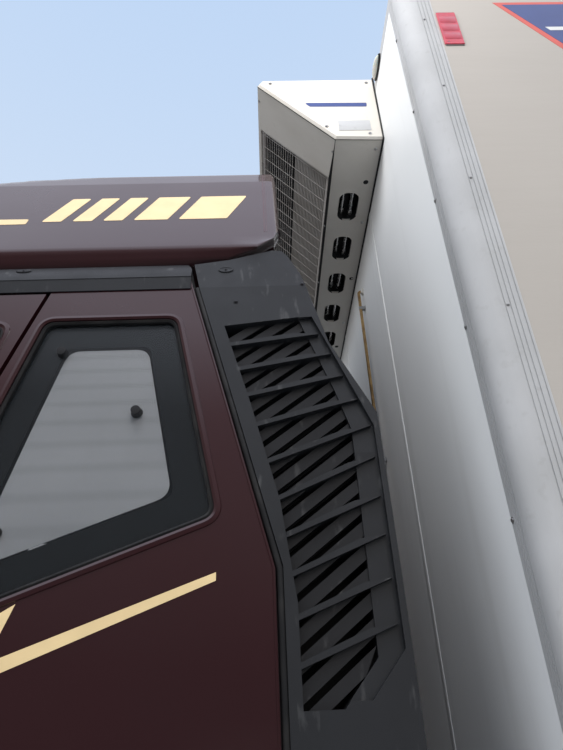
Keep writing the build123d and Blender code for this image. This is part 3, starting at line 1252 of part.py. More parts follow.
def barrel(axle_x, centre_y):
    """Build the ring of a rim that the tyre sits on."""
    half = RIM_WIDTH / 2
    with BuildPart() as ring:
        add(turned(axle_x, centre_y, straight(RIM_RADIUS, (-half, half))))
        add(turned(axle_x, centre_y, straight(RIM_RADIUS - 9, (-half - 5, half + 5))), mode=Mode.SUBTRACT)
    return ring.part


def dish(axle_x, centre_y, outside, inside):
    """Build the dished disc between two tables of sections."""
    with BuildPart() as disc:
        add(turned(axle_x, centre_y, outside))
        add(turned(axle_x, centre_y, inside), mode=Mode.SUBTRACT)
    return disc.part


def hand_holes(axle_x, y, circle):
    """Cut the ring of holes through a wheel's disc over the span y."""
    for i in range(HAND_HOLES):
        angle = radians(360 * i / HAND_HOLES)
        rod_y(28, axle_x + circle * cos(angle), y, AXLE_Z + circle * sin(angle), Mode.SUBTRACT, 8)


with BuildPart() as front_tyre_left:
    tyre(FRONT_AXLE_X, FRONT_WHEEL_Y)

with BuildPart() as rear_tyres_left:
    for across in (-TWIN_SPACING / 2, TWIN_SPACING / 2):
        tyre(REAR_AXLE_X, TWIN_Y + across)

# Front rim: the ring, a dished disc that bulges outwards, the hub and the brake drum.
FRONT_HUB_Y = (PLATE_Y[1] + 7, FRONT_WHEEL_Y + 150)
with BuildPart() as front_rim_left:
    add(barrel(FRONT_AXLE_X, FRONT_WHEEL_Y))
    add(dish(FRONT_AXLE_X, FRONT_WHEEL_Y, DISH_OUTSIDE, DISH_INSIDE))
    hand_holes(FRONT_AXLE_X, (FRONT_WHEEL_Y + 50, FRONT_WHEEL_Y + 150), 219)
    rod_y(HUB_RADIUS, FRONT_AXLE_X, FRONT_HUB_Y, AXLE_Z, sides=18)
    rod_y(DRUM_RADIUS, FRONT_AXLE_X, (FRONT_HUB_Y[0], FRONT_WHEEL_Y + 30), AXLE_Z, sides=24)
    rod_y(SPINDLE_RADIUS + 2, FRONT_AXLE_X, (FRONT_HUB_Y[0], SPINDLE_END_Y + 5), AXLE_Z, Mode.SUBTRACT)

# Rear rims: two rings, two dished discs back to back, and one hub and drum.
REAR_HUB_Y = (BACKPLATE_Y[1] + 6, TWIN_Y + 60)
with BuildPart() as rear_rims_left:
    for across in (-TWIN_SPACING / 2, TWIN_SPACING / 2):
        add(barrel(REAR_AXLE_X, TWIN_Y + across))
    add(dish(REAR_AXLE_X, TWIN_Y, TWIN_DISH_OUTSIDE, TWIN_DISH_INSIDE))
    add(dish(REAR_AXLE_X, TWIN_Y, flipped(TWIN_DISH_OUTSIDE), flipped(TWIN_DISH_INSIDE)))
    hand_holes(REAR_AXLE_X, (TWIN_Y - 100, TWIN_Y + 100), 222)
    rod_y(HUB_RADIUS, REAR_AXLE_X, REAR_HUB_Y, AXLE_Z, sides=18)
    rod_y(72, REAR_AXLE_X, (REAR_HUB_Y[1], TWIN_Y + 120), AXLE_Z, sides=18)
    rod_y(DRUM_RADIUS, REAR_AXLE_X, (REAR_HUB_Y[0], TWIN_Y - 75), AXLE_Z, sides=24)
    rod_y(REAR_SPINDLE_RADIUS + 2, REAR_AXLE_X, (REAR_HUB_Y[0], TWIN_Y + 75), AXLE_Z, Mode.SUBTRACT)

LEFT_WHEEL_PARTS = {
    "front_tyre": front_tyre_left.part,
    "front_rim": front_rim_left.part,
    "rear_tyres": rear_tyres_left.part,
    "rear_rims": rear_rims_left.part,
}
for name, left_part in LEFT_WHEEL_PARTS.items():
    left_part.label = f"{name}_left"
    export_step(left_part, f"parts/{name}_left.step")
    with BuildPart() as right:
        add(left_part.mirror(Plane.XZ))
    right.part.label = f"{name}_right"
    export_step(right.part, f"parts/{name}_right.step")
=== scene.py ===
import bmesh
import bpy
import math
import random
from mathutils import Euler, Matrix, Vector
from mathutils.bvhtree import BVHTree


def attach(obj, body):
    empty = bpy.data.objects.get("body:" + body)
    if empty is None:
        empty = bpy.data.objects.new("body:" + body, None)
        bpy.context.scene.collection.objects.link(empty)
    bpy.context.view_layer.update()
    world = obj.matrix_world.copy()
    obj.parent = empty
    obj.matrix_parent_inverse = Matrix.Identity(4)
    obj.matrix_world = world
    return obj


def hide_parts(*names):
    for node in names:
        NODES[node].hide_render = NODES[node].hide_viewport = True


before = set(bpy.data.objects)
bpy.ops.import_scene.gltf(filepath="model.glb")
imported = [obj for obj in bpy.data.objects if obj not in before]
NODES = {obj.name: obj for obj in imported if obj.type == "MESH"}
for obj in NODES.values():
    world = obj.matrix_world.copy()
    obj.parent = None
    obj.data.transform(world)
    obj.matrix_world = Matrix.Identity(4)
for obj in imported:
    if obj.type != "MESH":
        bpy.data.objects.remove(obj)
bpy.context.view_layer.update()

# Places shared with the truck's own drawing, in metres
SIDES = (("left", 1), ("right", -1))
AHEAD, REARWARD, UP, DOWN = (1, 0, 0), (-1, 0, 0), (0, 0, 1), (0, 0, -1)
BOX_FRONT_X = 2.070
BOX_REAR_X = -4.460
BOX_HALF_WIDTH = 1.275
UNIT_HALF_WIDTH = 0.870
UNIT_NOSE = Vector((2.544, 0, 3.750))
UNIT_CHIN = Vector((2.254, 0, 3.420))
FRONT_AXLE = Vector((3.065, 0, 0.505))
REAR_AXLE = Vector((-1.935, 0, 0.505))
QUARTER_WINDOW = [(3.109, 2.449), (2.772, 2.449), (2.657, 1.915), (3.272, 1.690)]
DOOR_WINDOW = [(3.198, 2.440), (3.362, 1.690), (3.760, 1.545), (4.150, 1.545), (4.150, 1.660), (3.950, 2.440)]
SCREEN_WINDOW = [(-1.030, 1.668), (1.030, 1.668), (0.965, 2.470), (-0.965, 2.470)]


def place_camera():
    """Put the camera at the photographer's eye height beside the cab, looking up across it."""
    data = bpy.data.cameras.new("camera")
    data.sensor_width = 36
    data.lens = 27.36
    camera = bpy.data.objects.new("camera", data)
    camera.location = (2.550, 2.298, 1.580)
    camera.rotation_euler = Euler([math.radians(a) for a in (119.636, 2.309, 179.346)], "XYZ")
    bpy.context.scene.collection.objects.link(camera)
    bpy.context.scene.camera = camera


class Graph:
    """A material's node tree, with short calls for the nodes used here."""

    def __init__(self, name, colour, rough, metal=0.0, **constants):
        self.material = bpy.data.materials.new(name)
        self.material.use_nodes = True
        self.tree = self.material.node_tree
        self.shader = self.tree.nodes["Principled BSDF"]
        self.set("Base Color", (*colour, 1.0))
        self.set("Roughness", rough)
        self.set("Metallic", metal)
        for key, value in constants.items():
            self.set(key.replace("_", " "), value)
        self.place = self.node("ShaderNodeTexCoord").outputs["Object"]

    def set(self, name, value):
        """Set a socket of the main shader, or link an output to it."""
        self.put(self.shader.inputs[name], value)

    def put(self, socket, value):
        if isinstance(value, bpy.types.NodeSocket):
            self.tree.links.new(value, socket)
        else:
            socket.default_value = value

    def node(self, kind, settings=None, **inputs):
        made = self.tree.nodes.new(kind)
        for key, value in (settings or {}).items():
            setattr(made, key, value)
        for key, value in inputs.items():
            self.put(made.inputs[key], value)
        return made

    def stretched(self, scale):
        """Return object coordinates multiplied along each axis."""
        return self.node("ShaderNodeMapping", Vector=self.place, Scale=scale).outputs["Vector"]

    def noise(self, scale, detail, stretch=(1, 1, 1)):
        """Return a noise value with about this many features a metre."""
        made = self.node("ShaderNodeTexNoise", Vector=self.stretched(stretch), Scale=scale, Detail=detail)
        return made.outputs["Fac"]

    def cells(self, scale):
        made = self.node("ShaderNodeTexVoronoi", Vector=self.stretched((1, 1, 1)), Scale=scale)
        return made.outputs["Distance"]

    def waves(self, direction, scale):
        made = self.node("ShaderNodeTexWave", {"bands_direction": direction}, Vector=self.place, Scale=scale)
        return made.outputs["Fac"]

    def axis(self, name):
        """Return one object coordinate: X, Y or Z."""
        return self.node("ShaderNodeSeparateXYZ", Vector=self.place).outputs[name]

    def math(self, operation, first, second=0.0):
        made = self.node("ShaderNodeMath", {"operation": operation})
        self.put(made.inputs[0], first)
        self.put(made.inputs[1], second)
        return made.outputs[0]

    def times(self, first, second):
        return self.math("MULTIPLY", first, second)

    def span(self, value, low, high, to_low=0.0, to_high=1.0):
        """Map a value between low and high to another span, and hold it there."""
        made = self.node("ShaderNodeMapRange")
        for socket, number in zip(made.inputs, (value, low, high, to_low, to_high)):
            self.put(socket, number)
        return made.outputs[0]

    def patches(self, scale, detail, low, high, much=None, stretch=(1, 1, 1)):
        """Return a value for soft patches of noise: 0 up to low, and 1 or much from high on."""
        value = self.span(self.noise(scale, detail, stretch), low, high)
        return value if much is None else self.times(value, much)

    def mix(self, factor, first, second):
        """Mix two colours."""
        made = self.node("ShaderNodeMix", {"data_type": "RGBA"})
        self.put(made.inputs["Factor"], factor)
        for socket, colour in ((made.inputs[6], first), (made.inputs[7], second)):
            self.put(socket, colour if isinstance(colour, bpy.types.NodeSocket) else (*colour, 1.0))
        return made.outputs[2]

    def bump(self, height, depth, before=None):
        """Return a normal bent by a height value, where depth is in metres."""
        made = self.node("ShaderNodeBump", Height=height, Distance=depth)
        if before:
            self.put(made.inputs["Normal"], before)
        return made.outputs["Normal"]

    def finish(self, colour=None, rough=None, grain=None, before=None):
        """Return the material once its colour, uneven roughness and grain are set.

        rough has a noise's scale and detail, its low and high values and the roughness at each.
        grain has a noise's scale, detail and depth.
        """
        if colour:
            self.set("Base Color", colour)
        if rough:
            self.set("Roughness", self.span(self.noise(*rough[:2]), *rough[2:]))
        if grain:
            self.set("Normal", self.bump(self.noise(*grain[:2]), grain[2], before))
        return self.material


def dimmed(colour, share):
    return tuple(share * c for c in colour)


# Materials: each has the small marks that its surface shows up close
def cab_paint():
    g = Graph("cab_paint", (0.021, 0.0042, 0.0062), 0.32, 0.10, Coat_Weight=1.0, Coat_Roughness=0.035, Coat_IOR=1.6)
    tone = g.mix(g.patches(0.8, 3, 0.3, 0.7), (0.024, 0.0046, 0.0066), (0.017, 0.0036, 0.0054))
    tone = g.mix(g.times(g.span(g.cells(900), 0.0, 0.35), 0.10), tone, (0.080, 0.016, 0.021))
    dust = g.times(g.span(g.axis("Z"), 1.55, 1.0), g.patches(9, 6, 0.42, 0.75))
    g.set("Roughness", g.math("ADD", g.span(g.noise(3, 5), 0.3, 0.8, 0.26, 0.38), g.times(dust, 0.3)))
    g.set("Coat Normal", g.bump(g.noise(110, 2), 0.00012, g.bump(g.noise(2.2, 1), 0.004)))
    return g.finish(g.mix(g.times(dust, 0.35), tone, (0.22, 0.18, 0.15)))


def film(name, colour):
    """A vinyl film laid on paint."""
    g = Graph(name, colour, 0.32, Coat_Weight=0.6, Coat_Roughness=0.08)
    return g.finish(g.mix(g.patches(14, 5, 0.35, 0.75), colour, dimmed(colour, 0.86)), grain=(160, 2, 0.00008))


def moulded(name, colour, rough, grain=0.00010, size=900):
    """Grained plastic with pale scuffs and a little dust."""
    g = Graph(name, colour, rough)
    tone = g.mix(g.patches(5, 6, 0.35, 0.7), colour, dimmed(colour, 0.82))
    scuffs = g.patches(40, 8, 0.62, 0.8, 0.22, (1, 1, 0.25))
    g.set("Normal", g.bump(g.cells(size), grain, g.bump(g.noise(6, 2), 0.0006)))
    return g.finish(g.mix(scuffs, tone, (0.30, 0.30, 0.30)), (12, 4, 0.3, 0.7, rough - 0.06, rough + 0.08))


def painted(name, colour, rough, dirt, much, peel=0.00015, metal=0.0):
    """Sheet or frame paint with soft dirt and an uneven film."""
    g = Graph(name, colour, rough, metal)
    streaks, spots = g.patches(7, 7, 0.5, 0.8, None, (1, 1, 0.15)), g.patches(60, 4, 0.62, 0.78)
    marks = g.times(g.math("MAXIMUM", streaks, spots), much)
    return g.finish(g.mix(marks, colour, dirt), (9, 5, 0.3, 0.7, rough - 0.05, rough + 0.12), (220, 2, peel))


def front_wall():
    """Glossy pale laminate, gently uneven, with fine dust runs. It is paler and cooler than the sides' copy of the same
    laminate: painted light on the front face, which the lamps leave in shade.
    """
    g = Graph("wall_front_painted_light", (0.70, 0.70, 0.70), 0.48, Coat_Weight=0.12, Coat_Roughness=0.28)
    tone = g.mix(g.patches(1.1, 3, 0.3, 0.7), (0.80, 0.80, 0.80), (0.86, 0.86, 0.85))
    tone = g.mix(g.patches(11, 6, 0.55, 0.85, 0.22, (1, 1, 0.06)), tone, (0.42, 0.40, 0.37))
    specks = g.times(g.span(g.cells(55), 0.05, 0.0), 0.5)
    g.set("Normal", g.bump(g.noise(1.6, 2, (1, 1, 0.45)), 0.003))
    return g.finish(g.mix(specks, tone, (0.30, 0.27, 0.24)), (4, 5, 0.3, 0.75, 0.42, 0.56))


def side_wall():
    """Cream laminate over foam, with faint horizontal wrinkles."""
    g = Graph("wall_side", (0.40, 0.36, 0.32), 0.42, Coat_Weight=0.12, Coat_Roughness=0.3)
    tone = g.mix(g.patches(0.9, 3, 0.3, 0.7), (0.435, 0.40, 0.362), (0.395, 0.362, 0.328))
    tone = g.mix(g.patches(9, 6, 0.6, 0.9, 0.25, (1, 1, 0.08)), tone, (0.35, 0.32, 0.285))
    road = g.times(g.times(g.span(g.axis("Z"), 1.75, 1.08), g.patches(6, 7, 0.3, 0.75)), 0.4)
    wrinkles = g.bump(g.noise(7, 5, (0.35, 1, 2.2)), 0.0012)
    return g.finish(g.mix(road, tone, (0.28, 0.25, 0.215)), None, (260, 2, 0.0001), wrinkles)


def aluminium(name, stretch):
    """Drawn aluminium with fine lines along its length."""
    g = Graph(name, (0.60, 0.60, 0.60), 0.58, 0.40)
    lines = g.noise(60, 4, stretch)
    tone = g.mix(g.patches(4, 5, 0.35, 0.7), (0.63, 0.63, 0.635), (0.54, 0.54, 0.54))
    g.set("Roughness", g.span(lines, 0.3, 0.7, 0.48, 0.66))
    g.set("Normal", g.bump(lines, 0.00012))
    return g.finish(g.mix(g.patches(38, 6, 0.6, 0.8, 0.35), tone, (0.42, 0.41, 0.39)))


def steel(name, colour, rough, rust=0.0):
    g = Graph(name, colour, rough, 0.9)
    return g.finish(g.mix(g.patches(90, 6, 0.55, 0.72, rust), colour, (0.16, 0.07, 0.03)),
                    (50, 4, 0.3, 0.7, rough - 0.08, rough + 0.15), (400, 3, 0.00010))


def cast_iron():
    colour = (0.055, 0.052, 0.050)
    g = Graph("cast_iron", colour, 0.62, 0.4)
    return g.finish(g.mix(g.patches(22, 8, 0.5, 0.72, 0.55), colour, (0.13, 0.065, 0.035)),
                    (30, 5, 0.3, 0.7, 0.5, 0.8), (300, 4, 0.0006))


def rubber(name, colour, rough, dusty):
    g = Graph(name, colour, rough)
    return g.finish(g.mix(g.patches(16, 7, 0.42, 0.78, dusty), colour, (0.12, 0.11, 0.10)),
                    (35, 4, 0.3, 0.7, rough - 0.1, rough + 0.16), (500, 3, 0.00025))


def glass():
    """Tinted glass with a faint film of dust. It is seen through by its alpha."""
    g = Graph("cab_glass", (0.020, 0.024, 0.028), 0.02, Alpha=0.26, Specular_IOR_Level=0.9, IOR=1.52)
    return g.finish(None, (7, 6, 0.35, 0.8, 0.02, 0.09), (1.3, 1, 0.0008))


def clear_lens():
    g = Graph("lamp_clear", (0.82, 0.84, 0.86), 0.08, Alpha=0.35, Coat_Weight=1.0, Coat_Roughness=0.05)
    g.set("Normal", g.bump(g.math("SINE", g.times(g.axis("Y"), 900.0)), 0.0006))
    return g.material


def coloured_lens(name, colour):
    """Moulded lens: fine prisms over a coloured body."""
    g = Graph(name, colour, 0.22, Coat_Weight=1.0, Coat_Roughness=0.08, Subsurface_Weight=0.15)
    prisms = g.node("ShaderNodeTexChecker", Vector=g.place, Scale=260.0).outputs["Fac"]
    g.set("Normal", g.bump(prisms, 0.0003))
    return g.finish(g.mix(g.patches(20, 5, 0.35, 0.8), colour, dimmed(colour, 0.7)))


def shade_film():
    """Grey sun-shade film with a close pattern of small holes."""
    g = Graph("shade_film", (0.50, 0.51, 0.52), 0.62)
    dots = g.node("ShaderNodeTexVoronoi", Vector=g.place, Scale=230.0, Randomness=0.0).outputs["Distance"]
    tone = g.mix(g.patches(3, 3, 0.3, 0.7), (0.56, 0.57, 0.59), (0.48, 0.49, 0.51))
    g.set("Normal", g.bump(dots, 0.0002))
    return g.finish(g.mix(g.times(g.span(dots, 0.26, 0.18), 0.8), tone, (0.10, 0.10, 0.11)))


def woven():
    """Woven seat cloth: fine crossed threads with a soft sheen."""
    g = Graph("seat_fabric", (0.055, 0.060, 0.075), 0.85, Sheen_Weight=0.35, Sheen_Roughness=0.5)
    threads = g.times(g.waves("Y", 160.0), g.waves("Z", 160.0))
    g.set("Normal", g.bump(threads, 0.0006, g.bump(g.noise(60, 4), 0.0008)))
    return g.finish(g.mix(threads, (0.055, 0.060, 0.075), (0.10, 0.105, 0.12)))


def brass():
    g = Graph("brass", (0.55, 0.36, 0.15), 0.36, 0.85)
    return g.finish(g.mix(g.patches(30, 6, 0.35, 0.7), (0.62, 0.42, 0.19), (0.34, 0.22, 0.11)),
                    (50, 4, 0.3, 0.7, 0.28, 0.5), (300, 3, 0.0001))


def coil_fins():
    """Face of a heat exchanger: close upright fins, with painted shade between them."""
    g = Graph("coil_fins", (0.10, 0.10, 0.10), 0.5, 0.6)
    fins = g.math("SINE", g.times(g.axis("Y"), 1500.0))
    g.set("Normal", g.bump(fins, 0.001))
    return g.finish(g.mix(g.span(fins, -0.4, 0.9), (0.012, 0.012, 0.013), (0.16, 0.16, 0.155)))


MATERIALS = {
    "paint": cab_paint(),
    "gold": film("film_gold", (0.74, 0.56, 0.30)),
    "blue": film("film_blue", (0.045, 0.070, 0.22)),
    "red": film("film_red", (0.62, 0.10, 0.07)),
    "white_film": film("film_white", (0.74, 0.74, 0.72)),
    "fairing": moulded("fairing_plastic", (0.022, 0.023, 0.026), 0.44),
    "lattice": moulded("lattice_plastic", (0.019, 0.019, 0.021), 0.56),
    "black_plastic": moulded("black_plastic", (0.020, 0.020, 0.022), 0.52),
    "inside_plastic": moulded("interior_plastic", (0.060, 0.060, 0.064), 0.62, 0.00025, 500),
    "unit": painted("unit_paint", (0.64, 0.60, 0.54), 0.40, (0.34, 0.29, 0.23), 0.22),
    "wall_front_painted_light": front_wall(),
    "wall_side": side_wall(),
    "aluminium": aluminium("aluminium", (30, 30, 0.5)),
    "aluminium_long": aluminium("aluminium_long", (0.5, 30, 30)),
    "chassis": painted("chassis_paint", (0.030, 0.030, 0.033), 0.48, (0.13, 0.10, 0.075), 0.55),
    "rim": painted("rim_paint", (0.42, 0.43, 0.45), 0.36, (0.12, 0.10, 0.085), 0.45, 0.0001, 0.5),
    "wire": painted("grille_wire", (0.46, 0.43, 0.40), 0.42, (0.22, 0.18, 0.14), 0.4),
    "galvanised": painted("galvanised", (0.46, 0.47, 0.48), 0.46, (0.28, 0.27, 0.25), 0.4, 0.0002, 0.75),
    "screw": steel("screw_steel", (0.60, 0.60, 0.60), 0.28, 0.35),
    "black_screw": steel("black_screw", (0.07, 0.07, 0.075), 0.36, 0.1),
    # Paler than the cab paint, for the lines along the deflector's rear seam: painted highlight
    "painted_seam_highlight": painted("painted_seam_highlight", (0.085, 0.045, 0.055), 0.3, (0.2, 0.17, 0.15), 0.2, 0.00005),
    "pipe_steel": steel("pipe_steel", (0.78, 0.78, 0.78), 0.18),
    "brass": brass(),
    "iron": cast_iron(),
    "tyre": rubber("tyre_rubber", (0.018, 0.018, 0.019), 0.62, 0.35),
    "seal": rubber("seal_rubber", (0.012, 0.012, 0.013), 0.45, 0.15),
    "foam": rubber("white_seal", (0.62, 0.60, 0.56), 0.7, 0.5),
    "glass": glass(),
    "frit": painted("glass_border", (0.010, 0.011, 0.012), 0.10, (0.05, 0.05, 0.05), 0.10, 0.00002),
    "mirror_glass": steel("mirror_glass", (0.85, 0.87, 0.88), 0.10),
    "lamp_clear": clear_lens(),
    "lamp_red": coloured_lens("lamp_red", (0.60, 0.055, 0.085)),
    "lamp_amber": coloured_lens("lamp_amber", (0.78, 0.28, 0.03)),
    "lamp_pale": coloured_lens("lamp_pale", (0.66, 0.67, 0.60)),
    "reflector": steel("reflector", (0.86, 0.86, 0.86), 0.14),
    "shade": shade_film(),
    "fabric": woven(),
    "seat_welt": moulded("seat_welt", (0.030, 0.030, 0.033), 0.6),
    "fins": coil_fins(),
    # Near-black: the own colour of small dark parts, and painted shade in the cooling unit's recess and on the
    # fairing's lattice solid
    "dark": painted("near_black_and_painted_shade", (0.012, 0.012, 0.013), 0.7, (0.03, 0.03, 0.03), 0.3),
}

# Finish of every carried-over solid
FINISH = {
    "paint": ["cab_side_panels", "cab_roof", "cab_front", "roof_deflector", "door_left", "door_right",
              "cab_rear_wall", "cab_floor"],
    "fairing": ["front_bumper", "front_steps", "roof_strips", "side_fairings", "mirrors", "front_grille"],
    "black_plastic": ["rear_mudguards", "battery_box"],
    "chassis": ["frame_rails", "cross_members", "rear_underrun", "driveshaft"],
    "iron": ["front_axle", "rear_axle", "leaf_springs", "engine_block", "knuckle_left", "knuckle_right", "tie_rod"],
    "galvanised": ["side_guards", "rear_door_frame"],
    "aluminium": ["corner_profiles", "box_floor"],
    "aluminium_long": ["fuel_tank"],
    "wall_side": ["box_roof", "cargo_door_left", "cargo_door_right"],
    "wire": ["cooling_grille"],
    "lamp_clear": ["headlamps"],
    "lamp_red": ["tail_lamps", "marker_lamps"],
    "brass": ["drain_pipe"],
    "glass": ["cab_windows", "door_glass_left", "door_glass_right"],
    "inside_plastic": ["dashboard"],
    "fabric": ["seats"],
    # The fairing's lattice solid is near-black all over: painted shade for the black gaps between the bars in front of
    # it
    "dark": ["fairing_lattices"],
    "tyre": ["front_tyre_left", "front_tyre_right", "rear_tyres_left", "rear_tyres_right"],
    "rim": ["front_rim_left", "front_rim_right", "rear_rims_left", "rear_rims_right"],
}


def dress(node, names, choose=None):
    """Give a solid its materials. choose(centre, normal) returns the index of a face's material."""
    mesh = NODES[node].data
    mesh.materials.clear()
    for name in names:
        mesh.materials.append(MATERIALS[name])
    if choose:
        for face in mesh.polygons:
            face.material_index = choose(face.center, face.normal)


for finish, nodes in FINISH.items():
    for node in nodes:
        dress(node, [finish])
# One laminate in two copies by the way a face points: the front face gets the paler, cooler copy, painted light where
# the lamps leave it in shade, and the sides get the darker, warmer copy
dress("box_walls", ["wall_side", "wall_front_painted_light"], lambda centre, normal: int(normal.x > 0.9))
# The faces of the recess behind the grille get the near-black material: painted shade for the unit's dark inside
dress("cooling_unit", ["unit", "dark"],
      lambda centre, normal: int(3.4205 < centre.z < 3.7 and 2.11 < centre.x < 2.52 and abs(centre.y) < 0.69))


def rectangle(a0, a1, b0, b1):
    """Return the corners of a rectangle of (a, b) points."""
    return [(a0, b0), (a1, b0), (a1, b1), (a0, b1)]


def ellipse(count, wide, high, shift=0.0):
    """Return (a, b) points round an ellipse of these half sizes, shifted by a share of a step."""
    angles = [2 * math.pi * (i + shift) / count for i in range(count)]
    return [(wide * math.cos(a), high * math.sin(a)) for a in angles]


def neighbours(outline):
    """Return each corner of an outline between the one before and the one after it."""
    return zip(outline[-1:] + outline[:-1], outline, outline[1:] + outline[:1])


def rounded(outline, radius, steps=6, straight=1):
    """Round the corners of an outline of (a, b) points, and divide its straight runs."""
    corners = []
    for before, corner, after in neighbours(outline):
        corner = Vector(corner)
        back, ahead = Vector(before) - corner, Vector(after) - corner
        reach = min(radius / math.tan(back.angle(ahead) / 2), 0.48 * back.length, 0.48 * ahead.length)
        start, end = corner + back.normalized() * reach, corner + ahead.normalized() * reach
        times = [i / steps for i in range(steps + 1)]
        corners.append([tuple(start * (1 - t) ** 2 + corner * 2 * t * (1 - t) + end * t ** 2) for t in times])
    made = []
    for bend, following in zip(corners, corners[1:] + corners[:1]):
        start, end = Vector(bend[-1]), Vector(following[0])
        made += bend + [tuple(start.lerp(end, i / straight)) for i in range(1, straight)]
    return made


def inset(outline, amount):
    """Draw in an outline of (a, b) points by the same amount on every side."""
    area = sum(a[0] * b[1] - b[0] * a[1] for a, b in zip(outline, outline[1:] + outline[:1]))
    turn = 1 if area > 0 else -1
    made = []
    for before, corner, after in neighbours(outline):
        into, out = Vector(corner) - Vector(before), Vector(after) - Vector(corner)
        first = Vector((-into.y, into.x)).normalized() * turn
        second = Vector((-out.y, out.x)).normalized() * turn
        bisector = (first + second).normalized()
        made.append(tuple(Vector(corner) + bisector * amount / max(bisector.dot(first), 0.3)))
    return made


def circle_through(first, second, third):
    """Return the centre and radius of the circle through three (a, b) points."""
    (ax, ay), (bx, by), (cx, cy) = first, second, third
    scale = 2 * (ax * (by - cy) + bx * (cy - ay) + cx * (ay - by))
    a, b, c = ax * ax + ay * ay, bx * bx + by * by, cx * cx + cy * cy
    x = (a * (by - cy) + b * (cy - ay) + c * (ay - by)) / scale
    y = (a * (cx - bx) + b * (ax - cx) + c * (bx - ax)) / scale
    return x, y, math.hypot(ax - x, ay - y)


def arc_at(arc, a):
    """Return b where the upper side of an (a, b) circle passes a."""
    centre_a, centre_b, radius = arc
    return centre_b + math.sqrt(max(radius ** 2 - (a - centre_a) ** 2, 0.0))


def facing_x(side=1):
    """Return the call that places a (y, z) point at an x, on one side of the truck."""
    return lambda y, z, x: Vector((x, side * y, z))


def facing_y(side, start=0.0):
    """Return the call that places an (x, z) point on one side of the truck, out from start."""
    return lambda x, z, out: Vector((x, side * (start + out), z))


